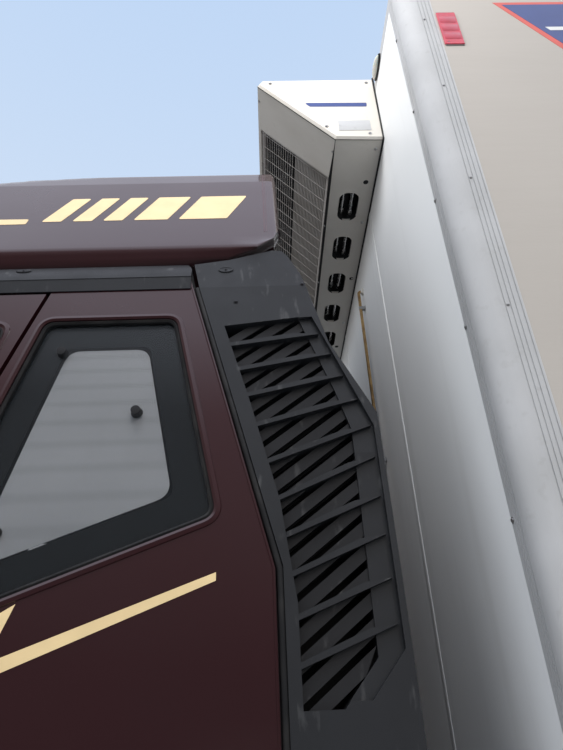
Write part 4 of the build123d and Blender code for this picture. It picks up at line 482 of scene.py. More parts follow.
class Form:
    """Many small closed shapes, gathered into one mesh. place(a, b, depth) calls return points."""

    def __init__(self):
        self.points, self.faces, self.slots = [], [], []
        self.slot = 0

    def add(self, points, faces):
        start = len(self.points)
        self.points += [Vector(p) for p in points]
        self.faces += [[start + i for i in face] for face in faces]
        self.slots += [self.slot] * len(faces)

    def loft(self, rings, closed=False):
        """Join equal rings of points. A closed loft runs from the last ring to the first."""
        count, size = len(rings), len(rings[0])
        faces = []
        for i in range(count if closed else count - 1):
            near, far = i * size, (i + 1) % count * size
            faces += [[near + j, near + (j + 1) % size, far + (j + 1) % size, far + j] for j in range(size)]
        if not closed:
            faces += [list(range(size)), list(range((count - 1) * size, count * size))]
        self.add([p for ring in rings for p in ring], faces)

    def prism(self, outline, place, start, end):
        """Carry an outline from one depth to another."""
        self.loft([[place(*p, depth) for p in outline] for depth in (start, end)])

    def stack(self, outline, rows, place, closed=False):
        """Join copies of an outline. Columns of rows: inset, depth."""
        self.loft([[place(a, b, depth) for a, b in inset(outline, amount)] for amount, depth in rows], closed)

    def swell(self, outline, rows, place):
        """Join copies of an outline about its origin. Columns of rows: depth, scale."""
        self.loft([[place(a * scale, b * scale, depth) for a, b in outline] for depth, scale in rows])

    def frame(self, base, section, place, straight=8):
        """Carry a closed section round an outline. Columns of a section: inset, corner radius, depth."""
        self.loft([[place(a, b, depth) for a, b in rounded(inset(base, amount), radius, 6, straight)]
                   for amount, radius, depth in section], closed=True)

    def turn(self, centre, axis, sections, sides=24, closed=False):
        """Turn (along, radius) sections about an axis."""
        axis = Vector(axis).normalized()
        side = axis.orthogonal().normalized()
        other = axis.cross(side)
        self.loft([[Vector(centre) + axis * along + side * a + other * b for a, b in ellipse(sides, radius, radius)]
                   for along, radius in sections], closed)

    def bar(self, start, end, radius, sides=10):
        start, end = Vector(start), Vector(end)
        self.turn(start, end - start, [(0, radius), ((end - start).length, radius)], sides)

    def tube(self, path, radius, sides=10):
        """Follow a path of points with a round section."""
        path = [Vector(p) for p in path]
        rings, side = [], None
        for i, point in enumerate(path):
            ahead = (path[min(i + 1, len(path) - 1)] - path[max(i - 1, 0)]).normalized()
            side = ahead.orthogonal() if side is None else side - ahead * side.dot(ahead)
            side.normalize()
            other = ahead.cross(side)
            rings.append([point + side * a + other * b for a, b in ellipse(sides, radius, radius)])
        self.loft(rings)

    def block(self, middle, half, edge, turned=None):
        """Add a block round a middle with its edges softened. turned turns it about the middle."""
        grown = bmesh.new()
        bmesh.ops.create_cube(grown, size=1.0)
        for vertex in grown.verts:
            vertex.co = Vector(2 * a * b for a, b in zip(vertex.co, half))
        bmesh.ops.bevel(grown, geom=grown.edges[:], offset=min(edge, 0.45 * min(half)), segments=2, profile=0.5,
                        affect="EDGES")
        turned = turned or Matrix.Identity(3)
        self.add([Vector(middle) + turned @ v.co for v in grown.verts],
                 [[v.index for v in f.verts] for f in grown.faces])
        grown.free()

    def screw(self, at, normal, radius=0.006, height=0.0035, washer=1.45):
        """Add a domed screw head on a washer, sunk a little into what it holds."""
        self.turn(at, normal, [(-0.001, radius * washer), (0.0008, radius * washer), (0.0010, radius),
                               (height * 0.7, radius * 0.9), (height, radius * 0.5)], 12)

    def nut(self, at, normal, radius, height):
        """Add a six-sided nut on a washer, with its stud."""
        self.turn(at, normal, [(-0.002, radius * 1.3), (0.003, radius * 1.3)], 16)
        self.turn(at, normal, [(0.002, radius), (height * 0.9, radius), (height, radius * 0.85)], 6)
        self.turn(at, normal, [(0.0, radius * 0.5), (height * 1.5, radius * 0.5), (height * 1.6, radius * 0.4)], 10)

    def piece(self, name, body, materials, slot, sharp=38, replaces=()):
        """Make the object, let it ride on its body and give it its finish."""
        mesh = bpy.data.meshes.new(name)
        mesh.from_pydata(self.points, [], self.faces)
        mesh.polygons.foreach_set("material_index", self.slots)
        for material in materials:
            mesh.materials.append(MATERIALS[material])
        closed = bmesh.new()
        closed.from_mesh(mesh)
        bmesh.ops.recalc_face_normals(closed, faces=closed.faces[:])
        for face in closed.faces:
            face.smooth = True
        for edge in closed.edges:
            edge.smooth = edge.is_manifold and edge.calc_face_angle(0.0) < math.radians(sharp)
        closed.to_mesh(mesh)
        closed.free()
        made = bpy.data.objects.new(name, mesh)
        bpy.context.scene.collection.objects.link(made)
        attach(made, body)
        if replaces:
            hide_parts(*replaces)
        return made


def surface_of(*nodes):
    """Return a tree of the faces of some solids, for finding points on them."""
    points, faces = [], []
    for node in nodes:
        mesh = NODES[node].data
        start = len(points)
        points += [v.co for v in mesh.vertices]
        faces += [[start + i for i in face.vertices] for face in mesh.polygons]
    return BVHTree.FromPolygons(points, faces)


FAR_OUT_Y = 3.0
FILM_CELL = 0.03
FILM_THICKNESS = 0.0006


def draped(form, outline, tree, side, lift=0.0008):
    """Lay a thin film with an (x, z) outline on a surface seen from the side."""
    cut = bmesh.new()
    cut.faces.new([cut.verts.new((x, FAR_OUT_Y * side, z)) for x, z in outline])
    for axis, index in ((Vector(AHEAD), 0), (Vector(UP), 1)):
        values = [p[index] for p in outline]
        for step in range(1, int((max(values) - min(values)) / FILM_CELL) + 1):
            at = axis * (min(values) + step * FILM_CELL)
            bmesh.ops.bisect_plane(cut, geom=cut.verts[:] + cut.edges[:] + cut.faces[:], plane_co=at, plane_no=axis)
    bmesh.ops.triangulate(cut, faces=cut.faces[:])
    away = Vector((0, side, 0))
    top = []
    for vertex in cut.verts:
        hit = tree.ray_cast(vertex.co, -away)[0]
        top.append((hit or tree.find_nearest(vertex.co)[0]) + away * lift)
    count = len(top)
    faces = [[v.index for v in f.verts] for f in cut.faces]
    under = [[i + count for i in reversed(face)] for face in faces]
    rim = [[e.verts[0].index, e.verts[1].index, e.verts[1].index + count, e.verts[0].index + count]
           for e in cut.edges if e.is_boundary]
    form.add(top + [p - away * FILM_THICKNESS for p in top], faces + under + rim)
    cut.free()


# The cab's outer skin: a bowed, leaning flank and a bowed front with tighter corners
FLANK_ARC = circle_through((1.500, 1.145), (2.050, 1.123), (2.556, 1.073))
SCREEN_BASE_Z = 1.640
SCREEN_LEAN = 0.240 / 0.920
BOW_HALF_WIDTH = 0.880
FRONT_BOW = circle_through((-BOW_HALF_WIDTH, 4.370), (0.0, 4.440), (BOW_HALF_WIDTH, 4.370))
FRONT_CORNER = circle_through((BOW_HALF_WIDTH, 4.370), (1.078, 4.272), (1.145, 4.050))


def flank_y(z):
    """Return the cab flank's distance from the middle at height z."""
    return 1.145 if z <= 1.5 else arc_at(FLANK_ARC, z)


def on_flank(side):
    """Return the call that places an (x, z) point on one flank of the cab, or below it by depth."""
    return lambda x, z, depth: Vector((x, side * (flank_y(z) - depth), z))


def on_front(y, z, depth):
    """Return a point on the cab's front, or below its surface by depth."""
    centre_y, centre_x, radius = FRONT_BOW if abs(y) <= BOW_HALF_WIDTH else FRONT_CORNER
    ahead = math.sqrt(radius ** 2 - (abs(y) - centre_y) ** 2)
    lean = SCREEN_LEAN * max(z - SCREEN_BASE_Z, 0.0)
    return Vector((centre_x + ahead - lean - depth * radius / ahead, y, z))


# Windows: rolled lip, rubber gasket and black border of each, and the shade behind each quarter window
LIP = [(-0.016, 0.051, 0.002), (-0.013, 0.048, -0.003), (-0.005, 0.040, -0.0045), (0.001, 0.034, -0.001),
       (0.001, 0.034, 0.011), (-0.004, 0.039, 0.011)]
GASKET = [(0.0, 0.035, 0.012), (0.001, 0.034, 0.003), (0.006, 0.030, -0.0005), (0.011, 0.026, 0.004),
          (0.012, 0.025, 0.012)]
BORDER_WIDTH = 0.080
SHADE_KNOBS = [(3.051, 2.352), (2.850, 2.174), (3.112, 1.899)]


def window_trims(name, outline, body, width, place, straight=8):
    """Frame one window. name has a gap for the word of each trim, and width is the border's."""
    border = [(0.0, 0.035, 0.0183), (width, 0.030, 0.0183), (width, 0.030, 0.0193), (0.0, 0.035, 0.0193)]
    for word, section, material, slot in (("lip", LIP, "paint", "cab_paint"),
                                          ("gasket", GASKET, "seal", "black_plastic"),
                                          ("border", border, "frit", "cab_glass")):
        trim = Form()
        trim.frame(outline, section, place, straight)
        trim.piece(name.format(word), body, [material], slot)


glass_tree = surface_of("cab_windows")
for name, side in SIDES:
    flank = on_flank(side)
    window_trims("quarter_window_{}_" + name, QUARTER_WINDOW, "cab", BORDER_WIDTH, flank)
    window_trims("door_window_{}_" + name, DOOR_WINDOW, "door_" + name, 0.022, flank)
    shade = Form()
    draped(shade, rounded(inset(QUARTER_WINDOW, BORDER_WIDTH + 0.006), 0.040), glass_tree, side, -0.0115)
    shade.piece("quarter_window_shade_" + name, "cab", ["shade"], "interior_plastic")
    knobs = Form()
    for x, z in SHADE_KNOBS:
        knobs.turn(flank(x, z, 0.0180), (0, -side, 0),
                   [(-0.0188, 0.006), (-0.0180, 0.011), (-0.0060, 0.012), (0.0, 0.014)], 20)
    knobs.piece("quarter_window_knobs_" + name, "cab", ["black_plastic"], "black_plastic")
window_trims("windscreen_{}", SCREEN_WINDOW, "cab", 0.055, on_front, 14)

# Cab rear edge: the rubber seal in the groove beside the fairing, and the panel's folded bead
EDGE_FOOT, EDGE_BEND, EDGE_HEAD = Vector((2.540, 1.140)), Vector((2.540, 1.805)), Vector((2.735, 2.556))
edge_path = [EDGE_FOOT.lerp(EDGE_BEND, i / 6) for i in range(6)]
edge_path += [EDGE_BEND.lerp(EDGE_HEAD, i / 24) for i in range(25)]
for name, side in SIDES:
    # Columns: word, shift forward, depth, radius, sides, material, slot
    for word, ahead, depth, radius, sides, material, slot in (
            ("seal", -0.0095, 0.0075, 0.0075, 10, "seal", "black_plastic"),
            ("bead", 0.0035, 0.0010, 0.0032, 8, "paint", "cab_paint")):
        edge = Form()
        edge.tube([on_flank(side)(x + ahead, z, depth) for x, z in edge_path], radius, sides)
        edge.piece(f"cab_rear_{word}_{name}", "cab", [material], slot)

# Gold films on the cab's side, a generic pattern of gold bars on the deflector, and paler lines along its rear seam,
# which are a painted highlight
GOLD_FILMS = [
    [(2.656, 1.801), (2.656, 1.785), (3.043, 1.639), (3.048, 1.664)],
    [(3.034, 1.757), (3.055, 1.697), (3.290, 1.590), (3.290, 1.650), (3.066, 1.738)],
]
# Columns: front lower corner's x, width
DECK_BARS = [(3.224, 0.060), (3.130, 0.060), (3.036, 0.060), (2.942, 0.105), (2.803, 0.150)]
DECK_FILMS = [[(x, 2.888), (x - 0.062, 3.040), (x - 0.062 - width, 3.040), (x - width, 2.888)]
              for x, width in DECK_BARS]
DECK_FILMS.append([(3.700, 2.913), (3.267, 2.907), (3.268, 2.876), (3.690, 2.873)])
# Two thin lines paler than the paint along the deflector's rear seam: painted highlight
DECK_SEAM_HIGHLIGHTS = [rectangle(2.536, 2.5385, 2.800, 3.250), rectangle(2.530, 2.5315, 2.800, 3.250)]
panel_tree = surface_of("cab_side_panels")
deflector_tree = surface_of("roof_deflector")
for name, side in SIDES:
    for piece, outlines, tree, material, lift in (
            ("cab_side_films_", GOLD_FILMS, panel_tree, "gold", 0.0008),
            ("deflector_films_", [rounded(o, 0.006, 3) for o in DECK_FILMS], deflector_tree, "gold", 0.0008),
            ("deflector_seam_highlight_", DECK_SEAM_HIGHLIGHTS, deflector_tree, "painted_seam_highlight", 0.0006)):
        films = Form()
        for outline in outlines:
            draped(films, outline, tree, side, lift)
        films.piece(piece + name, "cab", [material], "cab_paint")

# Plugs and screws that hold the roof strips and the fairings
PLUGS = [(3.207, 2.637), (3.700, 2.637), (2.649, 2.627)]
FAIRING_SCREWS = [(2.620, 2.500), (2.440, 2.560), (2.330, 1.480), (2.480, 1.480), (2.330, 1.200), (2.480, 1.200)]
strip_tree = surface_of("roof_strips", "side_fairings")
for name, side in SIDES:
    fasteners = Form()
    for x, z in PLUGS + FAIRING_SCREWS:
        hit, normal = strip_tree.ray_cast(Vector((x, FAR_OUT_Y * side, z)), Vector((0, -side, 0)))[:2]
        if (x, z) in PLUGS:
            across = normal.cross(Vector(AHEAD)).normalized()
            fasteners.slot = 0
            fasteners.swell(ellipse(24, 0.021, 0.011),
                            [(-0.001, 1.0), (0.002, 1.0), (0.003, 0.9), (0.0022, 0.78), (0.0022, 0.3)],
                            lambda a, b, lift: hit + Vector(AHEAD) * a + across * b + normal * lift)
        fasteners.slot = 1
        if (x, z) in PLUGS:
            fasteners.screw(hit + normal * 0.002, normal, 0.003, 0.002)
        else:
            fasteners.screw(hit, normal, 0.0048)
    fasteners.piece("cab_trim_fasteners_" + name, "cab", ["fairing", "black_screw"], "fairing_plastic")

# Cooling unit: fine grille, coil behind it, pipes over the long holes, seams, screws and blank plates
GRILLE_WIDE, GRILLE_HIGH = 0.669, 0.204
GRILLE_OUT = -0.018
RAIL = 0.007
SLATS, SLAT_PITCH = 21, 0.0092
WIRES, WIRE_PITCH = 13, 0.0142
CROSS_GAPS = 21
COIL_FINS = 420
slope_up = (UNIT_NOSE - UNIT_CHIN).normalized()
slope_out = Vector((slope_up.z, 0, -slope_up.x))
slope_middle = (UNIT_NOSE + UNIT_CHIN) / 2
slope_turn = Matrix((Vector((0, 1, 0)), slope_up, slope_out)).transposed()


def on_slope(y, rise, out):
    """Return a point of the unit's slanted front."""
    return slope_middle + Vector((0, y, 0)) + slope_up * rise + slope_out * out


grille = Form()
for sign in (-1, 1):
    grille.block(on_slope(0, sign * (GRILLE_HIGH - RAIL), GRILLE_OUT), (GRILLE_WIDE, RAIL, 0.011), 0.0015, slope_turn)
for sign in (-1, 1):
    grille.block(on_slope(sign * (GRILLE_WIDE - RAIL), 0, GRILLE_OUT), (RAIL, GRILLE_HIGH - 2 * RAIL, 0.011), 0.0015,
                 slope_turn)
for i in range(SLATS):
    grille.block(on_slope(0, -GRILLE_HIGH + 0.020 + i * SLAT_PITCH, GRILLE_OUT - 0.002),
                 (GRILLE_WIDE - 0.010, 0.0016, 0.007), 0.0004, slope_turn)
for i in range(1, WIRES + 1):
    ends = [on_slope(sign * (GRILLE_WIDE - 0.010), i * WIRE_PITCH, -0.009) for sign in (-1, 1)]
    grille.bar(*ends, 0.0016, 8)
for i in range(CROSS_GAPS + 1):
    y = -GRILLE_WIDE + 0.020 + i * (2 * GRILLE_WIDE - 0.040) / CROSS_GAPS
    ends = [on_slope(y, sign * (GRILLE_HIGH - 0.010), -0.0062) for sign in (-1, 1)]
    grille.bar(*ends, 0.0013, 8)
grille.piece("cooling_grille_fine", "chassis", ["wire"], "grille_wire", replaces=["cooling_grille"])

coil = Form()
coil_wide, coil_high = GRILLE_WIDE - 0.004, GRILLE_HIGH - 0.004
section = [(-coil_wide + i * 2 * coil_wide / COIL_FINS, -0.0355 if i % 2 else -0.0385) for i in range(COIL_FINS + 1)]
section += [(coil_wide, -0.0442), (-coil_wide, -0.0442)]
coil.prism(section, lambda y, out, rise: on_slope(y, rise, out), -coil_high, coil_high)
coil.piece("condenser_fins", "chassis", ["fins"], "grille_wire")

HOLE_X = 2.168
HOLE_Y = [-0.520, -0.260, 0.0, 0.260, 0.520]
UNIT_FLOOR_Z, UNIT_FLOOR_SLOPE = 3.412, 0.0435
HOLE_EDGE = [(-0.0022, 0.0450, -0.0006), (0.0012, 0.0422, -0.0014), (0.0016, 0.0418, 0.0100), (-0.0010, 0.0445, 0.0100)]
pipes, hole_edges = Form(), Form()
for y in HOLE_Y:
    for x, z, radius in ((HOLE_X - 0.018, 3.452, 0.0085), (HOLE_X + 0.020, 3.458, 0.0065)):
        pipes.bar((x, y - 0.079, z), (x, y + 0.079, z), radius, 14)
        for shift in (-0.055, 0.050):
            pipes.turn((x, y + shift, z), (0, 1, 0),
                       [(-0.006, radius), (-0.006, radius + 0.003), (0.006, radius + 0.003), (0.006, radius)], 14)
    hole_edges.frame(rectangle(HOLE_X - 0.0435, HOLE_X + 0.0435, y - 0.0815, y + 0.0815), HOLE_EDGE, lambda x, y, depth:
                     Vector((x, y, UNIT_FLOOR_Z + (x - BOX_FRONT_X) * UNIT_FLOOR_SLOPE + depth)), 4)
pipes.piece("unit_pipes", "chassis", ["pipe_steel"], "aluminium")
hole_edges.piece("unit_hole_edges", "chassis", ["unit"], "unit_paint")

PLATE_Z = 3.487
unit_bits = Form()
for side in (1, -1):
    unit_side = facing_y(side, UNIT_HALF_WIDTH)
    unit_bits.slot = 0
    for x, z in ((2.283, 3.484), (2.120, 3.440), (2.492, 3.755), (2.100, 3.752)):
        unit_bits.screw(unit_side(x, z, 0.0), (0, side, 0), 0.0052)
    unit_bits.slot = 1
    unit_bits.block(unit_side(2.175, PLATE_Z, 0.0006), (0.062, 0.0009, 0.029), 0.0003)
    for x in (2.119, 2.231):
        unit_bits.screw(unit_side(x, PLATE_Z, 0.0014), (0, side, 0), 0.0018, 0.0012, 1.1)
    unit_bits.slot = 2
    unit_bits.prism(rounded([(2.115, 3.600), (2.340, 3.604), (2.362, 3.628), (2.113, 3.624)], 0.006, 3), unit_side,
                    -0.0005, 0.0006)
unit_bits.slot = 0
for y in (-0.780, -0.390, 0.0, 0.390, 0.780):
    unit_bits.screw((2.095, y + 0.040, 3.413), DOWN, 0.0052)
for y in (-0.800, -0.400, 0.0, 0.400, 0.800):
    for rise in (-GRILLE_HIGH - 0.0075, GRILLE_HIGH + 0.0075):
        unit_bits.screw(on_slope(y, rise, 0), slope_out, 0.0040, 0.003, 1.25)
unit_bits.slot = 3
for y, x in ((0.657, 2.110), (0.039, 2.097), (-0.600, 2.110)):
    unit_bits.turn((x, y, 3.4132), UP, [(-0.0012, 0.009), (0.0, 0.011), (0.008, 0.007), (0.004, 0.004)], 16)
unit_bits.piece("unit_fittings", "chassis", ["screw", "aluminium", "blue", "dark"], "unit_paint")

seams = Form()
for side in (1, -1):
    edge_y = side * (UNIT_HALF_WIDTH - 0.0085)
    corners = [Vector((BOX_FRONT_X + 0.001, edge_y, 3.4115)), UNIT_CHIN + Vector((0.003, edge_y, -0.002)),
               UNIT_NOSE + Vector((0.0008, edge_y, -0.0008))]
    for start, end in zip(corners[:-1], corners[1:]):
        seams.bar(start, end, 0.0013, 6)
seams.bar(UNIT_CHIN + Vector((0.0006, -0.860, -0.0006)), UNIT_CHIN + Vector((0.0006, 0.860, -0.0006)), 0.0014, 6)
seams.piece("unit_edge_seams", "chassis", ["dark"], "unit_paint")
sealant = Form()
sealant_line = [(-0.872, 3.777), (-0.872, 3.410), (0.872, 3.410), (0.872, 3.777)]
sealant.tube([(BOX_FRONT_X + 0.002, y, z) for y, z in sealant_line], 0.0042, 8)
sealant.piece("unit_wall_sealant", "chassis", ["seal"], "black_plastic")

# Walls: the front panel's joints and the screws of the corner profiles
wall_bits, panel_joint = Form(), Form()
for side in (1, -1):
    for z in (3.498, 3.124, 2.745, 2.328, 1.868, 1.450):
        wall_bits.screw((BOX_FRONT_X, side * 1.1862, z), AHEAD, 0.0046)
    for z in (3.462, 3.118, 2.732, 2.325, 1.880, 1.450):
        wall_bits.screw((2.0020, side * BOX_HALF_WIDTH, z), (0, side, 0), 0.0033, 0.003, 1.2)
    for i in range(12):
        wall_bits.screw((BOX_REAR_X + 0.25 + 0.55 * i, side * BOX_HALF_WIDTH, 3.700), (0, side, 0), 0.0048)
    panel_joint.block((BOX_FRONT_X + 0.0004, side * 0.478, 2.247), (0.0012, 0.0155, 1.160), 0.0007)
wall_bits.piece("profile_screws", "chassis", ["screw"], "aluminium")
panel_joint.piece("front_wall_joints", "chassis", ["wall_front_painted_light"], "body_panel")

# Drain pipe: round, bent into its sealed hole, with clips and a threaded end
PIPE_X, PIPE_Y = 2.0920, 0.143
PIPE_BEND = [(BOX_FRONT_X - 0.010, 3.248), (2.0765, 3.248), (2.0865, 3.2455), (2.0915, 3.238), (PIPE_X, 3.226),
             (PIPE_X, 1.182)]
CLIP = [(2.071, -0.0115), (2.073, -0.0092), (2.088, -0.0088), (2.0985, -0.0060), (2.1008, 0.0), (2.0985, 0.0060),
        (2.088, 0.0088), (2.073, 0.0092), (2.071, 0.0115)]
CLIP_INSIDE = [(x if x < 2.075 else x - 0.0012, y * 0.84) for x, y in reversed(CLIP)]
pipe = Form()
pipe.tube([(x, PIPE_Y, z) for x, z in PIPE_BEND], 0.0070, 16)
for i in range(22):
    pipe.turn((PIPE_X, PIPE_Y, 1.200 + 0.0045 * i), UP, [(-0.0018, 0.0066), (0.0, 0.0074), (0.0018, 0.0066)], 16)
pipe.slot = 1
for z in (3.150, 2.400, 1.650):
    pipe.block((BOX_FRONT_X + 0.0012, PIPE_Y, z), (0.0012, 0.0118, 0.0088), 0.0006)
    pipe.prism(CLIP + CLIP_INSIDE, lambda x, y, z: Vector((x, PIPE_Y + y, z)), z - 0.0075, z + 0.0075)
    pipe.screw((BOX_FRONT_X + 0.0022, 0.1525, z - 0.001), AHEAD, 0.0016, 0.0015, 1.3)
pipe.slot = 2
draw = random.Random(7)
for start, size in ((0.0, 0.017), (0.0035, 0.0125)):
    lump = []
    for along, grow in ((-0.002, 1.0), (0.002, 1.05), (0.006, 0.85), (0.009, 0.55)):
        lump.append([Vector((BOX_FRONT_X + start + along, PIPE_Y + a * draw.uniform(0.86, 1.12),
                             3.247 + b * draw.uniform(0.86, 1.12))) for a, b in ellipse(18, size * grow, size * grow)])
    pipe.loft(lump)
pipe.piece("drain_pipe_fine", "chassis", ["brass", "galvanised", "foam"], "brass", replaces=["drain_pipe"])

# Marker lamps: pale domes on black bases in front, red lenses in holders on the sides
lamps = Form()
for side in (1, -1):
    wall, out = facing_y(side, BOX_HALF_WIDTH), (0, side, 0)
    # Columns of a dome: lift, scale
    for slot, rows in enumerate(([(0.0, 1.0), (0.006, 1.0), (0.008, 0.96), (0.008, 0.5)],
                                 [(0.0075, 0.90), (0.012, 0.88), (0.0165, 0.74), (0.0200, 0.50), (0.0218, 0.20)])):
        lamps.slot = slot
        lamps.swell(ellipse(40, 0.055, 0.0208), rows,
                    lambda y, z, lift: Vector((BOX_FRONT_X + lift, side * 0.960 + y, 3.712 + z)))
    lamps.slot = 2
    lamps.stack(rounded(rectangle(1.899, 1.961, 3.320, 3.494), 0.004, 3),
                [(0.0, 0.0002), (0.0, 0.0034), (0.0012, 0.0046)], wall)
    for i in range(3):
        lamps.block(wall(1.930, 3.362 + 0.045 * i, 0.0046), (0.026, 0.0003, 0.0165), 0.0002)
    lamps.slot = 3
    lamps.block(wall(1.930, 3.4965, 0.0010), (0.030, 0.0010, 0.0030), 0.0005)
    lamps.block(wall(1.930, 3.3185, 0.0010), (0.030, 0.0010, 0.0025), 0.0005)
    lamps.screw(wall(1.948, 3.331, 0.0042), out, 0.0018, 0.0010, 1.2)
lamps.piece("marker_lamps_fine", "chassis", ["black_plastic", "lamp_pale", "lamp_red", "galvanised"], "lamp_red",
            replaces=["marker_lamps"])

# Side walls: a plain blue band edged in red and white, cut on the slant at its front end
BAND_REAR_X = -4.200
# Columns: low z, high z, front x at each, thickness
BANDS = [(3.262, 3.556, 1.580, 1.760, 0.0006), (3.276, 3.542, 1.562, 1.732, 0.0010),
         (3.392, 3.411, 1.610, 1.622, 0.0014)]
side_bands = Form()
for side in (1, -1):
    for slot, (low, high, front_low, front_high, out) in enumerate(BANDS):
        side_bands.slot = slot
        side_bands.prism([(BAND_REAR_X, low), (front_low, low), (front_high, high), (BAND_REAR_X, high)],
                         facing_y(side, BOX_HALF_WIDTH), -0.0005, out)
side_bands.piece("side_bands", "chassis", ["red", "blue", "white_film"], "body_panel")

# Roof deflector: the solid's own outlines with soft corners, a rolled rear lip, and blocks at its foot
DECK_REAR_X, DECK_BEND_X = 2.491, 3.360
DECK_REAR_Z, DECK_BEND_Z = 3.285, 3.205
DECK_HALF_WIDTH = 1.060
DECK_FLANK = [(1.036, 2.658), (1.054, 2.718), (1.002, 2.868), (0.905, 3.150), (0.866, 3.234), (0.775, 3.272)]
DECK_FRONT_ARC = circle_through((DECK_BEND_X, DECK_BEND_Z), (3.790, 3.010), (4.060, 2.640))
DECK_PLAN_ARC = circle_through((3.300, DECK_HALF_WIDTH), (3.800, 0.960), (4.010, 0.700))
DECK_BOW = circle_through((4.010, -0.700), (4.060, 0.0), (4.010, 0.700))
FOOT_LINE = [(2.400, 2.800), (2.495, 2.790), (2.517, 2.735), (2.640, 2.684), (2.760, 2.664), (4.200, 2.664)]
LIP_RADIUS = 0.020
SHELL = 0.0075


def deck_top(x):
    """Return the height of the deflector's top line at x."""
    if x > DECK_BEND_X:
        return arc_at(DECK_FRONT_ARC, x)
    return DECK_REAR_Z + (x - DECK_REAR_X) * (DECK_BEND_Z - DECK_REAR_Z) / (DECK_BEND_X - DECK_REAR_X)


def deck_half_width(x):
    """Return half the deflector's width in plan at x."""
    if x <= 3.300:
        return DECK_HALF_WIDTH
    return arc_at(DECK_PLAN_ARC if x <= 4.010 else DECK_BOW, x)


def foot_height(x):
    """Return the height of the deflector's lower edge at x."""
    for (x0, z0), (x1, z1) in zip(FOOT_LINE[:-1], FOOT_LINE[1:]):
        if x <= x1:
            return z0 + (x - x0) * (z1 - z0) / (x1 - x0)
    return FOOT_LINE[-1][1]


half_section = rounded(DECK_FLANK + [(0.0, 3.274), (0.0, 2.600)], 0.045, 7, 6)
half_section = [p for p in half_section if p[0] > 0.02 and p[1] > 2.6585]
start = min(range(len(half_section)), key=lambda i: half_section[i][1])
half_section = half_section[start:] + half_section[:start]


def deck_ring(x, draw_in):
    """Return the section of the deflector at x, drawn in by an amount."""
    foot, top, wide = foot_height(x), deck_top(x) - draw_in, deck_half_width(x) - draw_in
    ring = [(min(y - draw_in, wide), max(foot, min(z - draw_in, top))) for y, z in half_section]
    return [Vector((x, y, z)) for y, z in ring] + [Vector((x, -y, z)) for y, z in reversed(ring)]


stations = [DECK_REAR_X + LIP_RADIUS * (1 - math.cos(math.radians(a))) for a in (0, 20, 40, 60, 75, 90)]
lip_front = stations[-1]
forward = [2.560, 2.640, 2.760, 2.900] + [3.000 + 0.060 * i for i in range(7)]
forward += [3.420 + 0.040 * i for i in range(16)] + [4.040]
shell = [deck_ring(x, LIP_RADIUS - math.sqrt(max(LIP_RADIUS ** 2 - (lip_front - x) ** 2, 0.0))) for x in stations]
shell += [deck_ring(x, 0.0) for x in forward]
shell += [deck_ring(x, SHELL) for x in reversed([lip_front] + forward)]
shell += [deck_ring(lip_front, LIP_RADIUS), deck_ring(DECK_REAR_X + 0.004, LIP_RADIUS)]
rings, count = len(shell), len(shell[0])
deck = Form()
deck.add([p for ring in shell for p in ring],
         [[i * count + j, i * count + j + 1, (i + 1) % rings * count + j + 1, (i + 1) % rings * count + j]
          for i in range(rings) for j in range(count - 1)])
for x in (2.920, 3.290, 3.660):
    for side in (1, -1):
        deck.block((x, side * 0.992, 2.722), (0.030, 0.036, 0.040), 0.004)
deck.piece("roof_deflector_shell", "cab", ["paint"], "cab_paint", 34, ["roof_deflector"])


# Seats: padded cushions, backs and headrests on bellows, in the place of the plain solids
PAD_STEPS = [math.sin(math.pi / 2 * (-1 + i / 13)) for i in range(27)]
PAD_EDGE = ([(u, -1) for u in PAD_STEPS] + [(1, v) for v in PAD_STEPS[1:]]
            + [(u, 1) for u in reversed(PAD_STEPS[:-1])] + [(-1, v) for v in reversed(PAD_STEPS[1:-1])])


def pad(name, middle, along, up, half, crown, channels):
    """Make a crowned pad whose sides pull in between its corners, with sewn channels and piping."""
    form = Form()
    across, along, up = Vector((0, 1, 0)), Vector(along).normalized(), Vector(up).normalized()

    def place(u, v, sign):
        pull_u, pull_v = 1 - 0.035 * (1 - v ** 4) * abs(u) ** 3, 1 - 0.035 * (1 - u ** 4) * abs(v) ** 3
        edge = max((1 - abs(u) ** 7) * (1 - abs(v) ** 7), 0.0) ** 0.36
        swell = (1 - crown) + crown * (1 - u * u) * (1 - v * v)
        groove = sum(math.exp(-((v - c) / 0.028) ** 2) for c in channels) * 0.20
        rise = half[2] * edge * (swell - groove * (0.35 + 0.65 * (1 - u * u)) if sign > 0 else 0.82)
        return Vector(middle) + along * half[0] * u * pull_u + across * half[1] * v * pull_v + up * sign * rise

    size = len(PAD_STEPS)
    for sign in (1, -1):
        form.add([place(u, v, sign) for u in PAD_STEPS for v in PAD_STEPS],
                 [[i * size + j, i * size + j + 1, (i + 1) * size + j + 1, (i + 1) * size + j]
                  for i in range(size - 1) for j in range(size - 1)])
    ring = [place(u * 0.998, v * 0.998, 1) for u, v in PAD_EDGE]
    welt = []
    for i, point in enumerate(ring):
        side = (ring[(i + 1) % len(ring)] - ring[i - 1]).normalized().cross(up).normalized()
        welt.append([point + (side * a + up * b) * 0.0038 for a, b in ellipse(8, 1, 1)])
    form.slot = 1
    form.loft(welt, closed=True)
    made = form.piece(name, "cab", ["fabric", "seat_welt"], "seat_fabric", 80, ["seats"])
    merged = bmesh.new()
    merged.from_mesh(made.data)
    bmesh.ops.remove_doubles(merged, verts=merged.verts[:], dist=0.00002)
    merged.to_mesh(made.data)
    merged.free()


BACK_UP = (-0.20, 0, 0.98)
BACK_FRONT = (0.98, 0, 0.20)
FLOOR_Z, FRAME_Z = 1.177, 1.195
FOLDS = 14
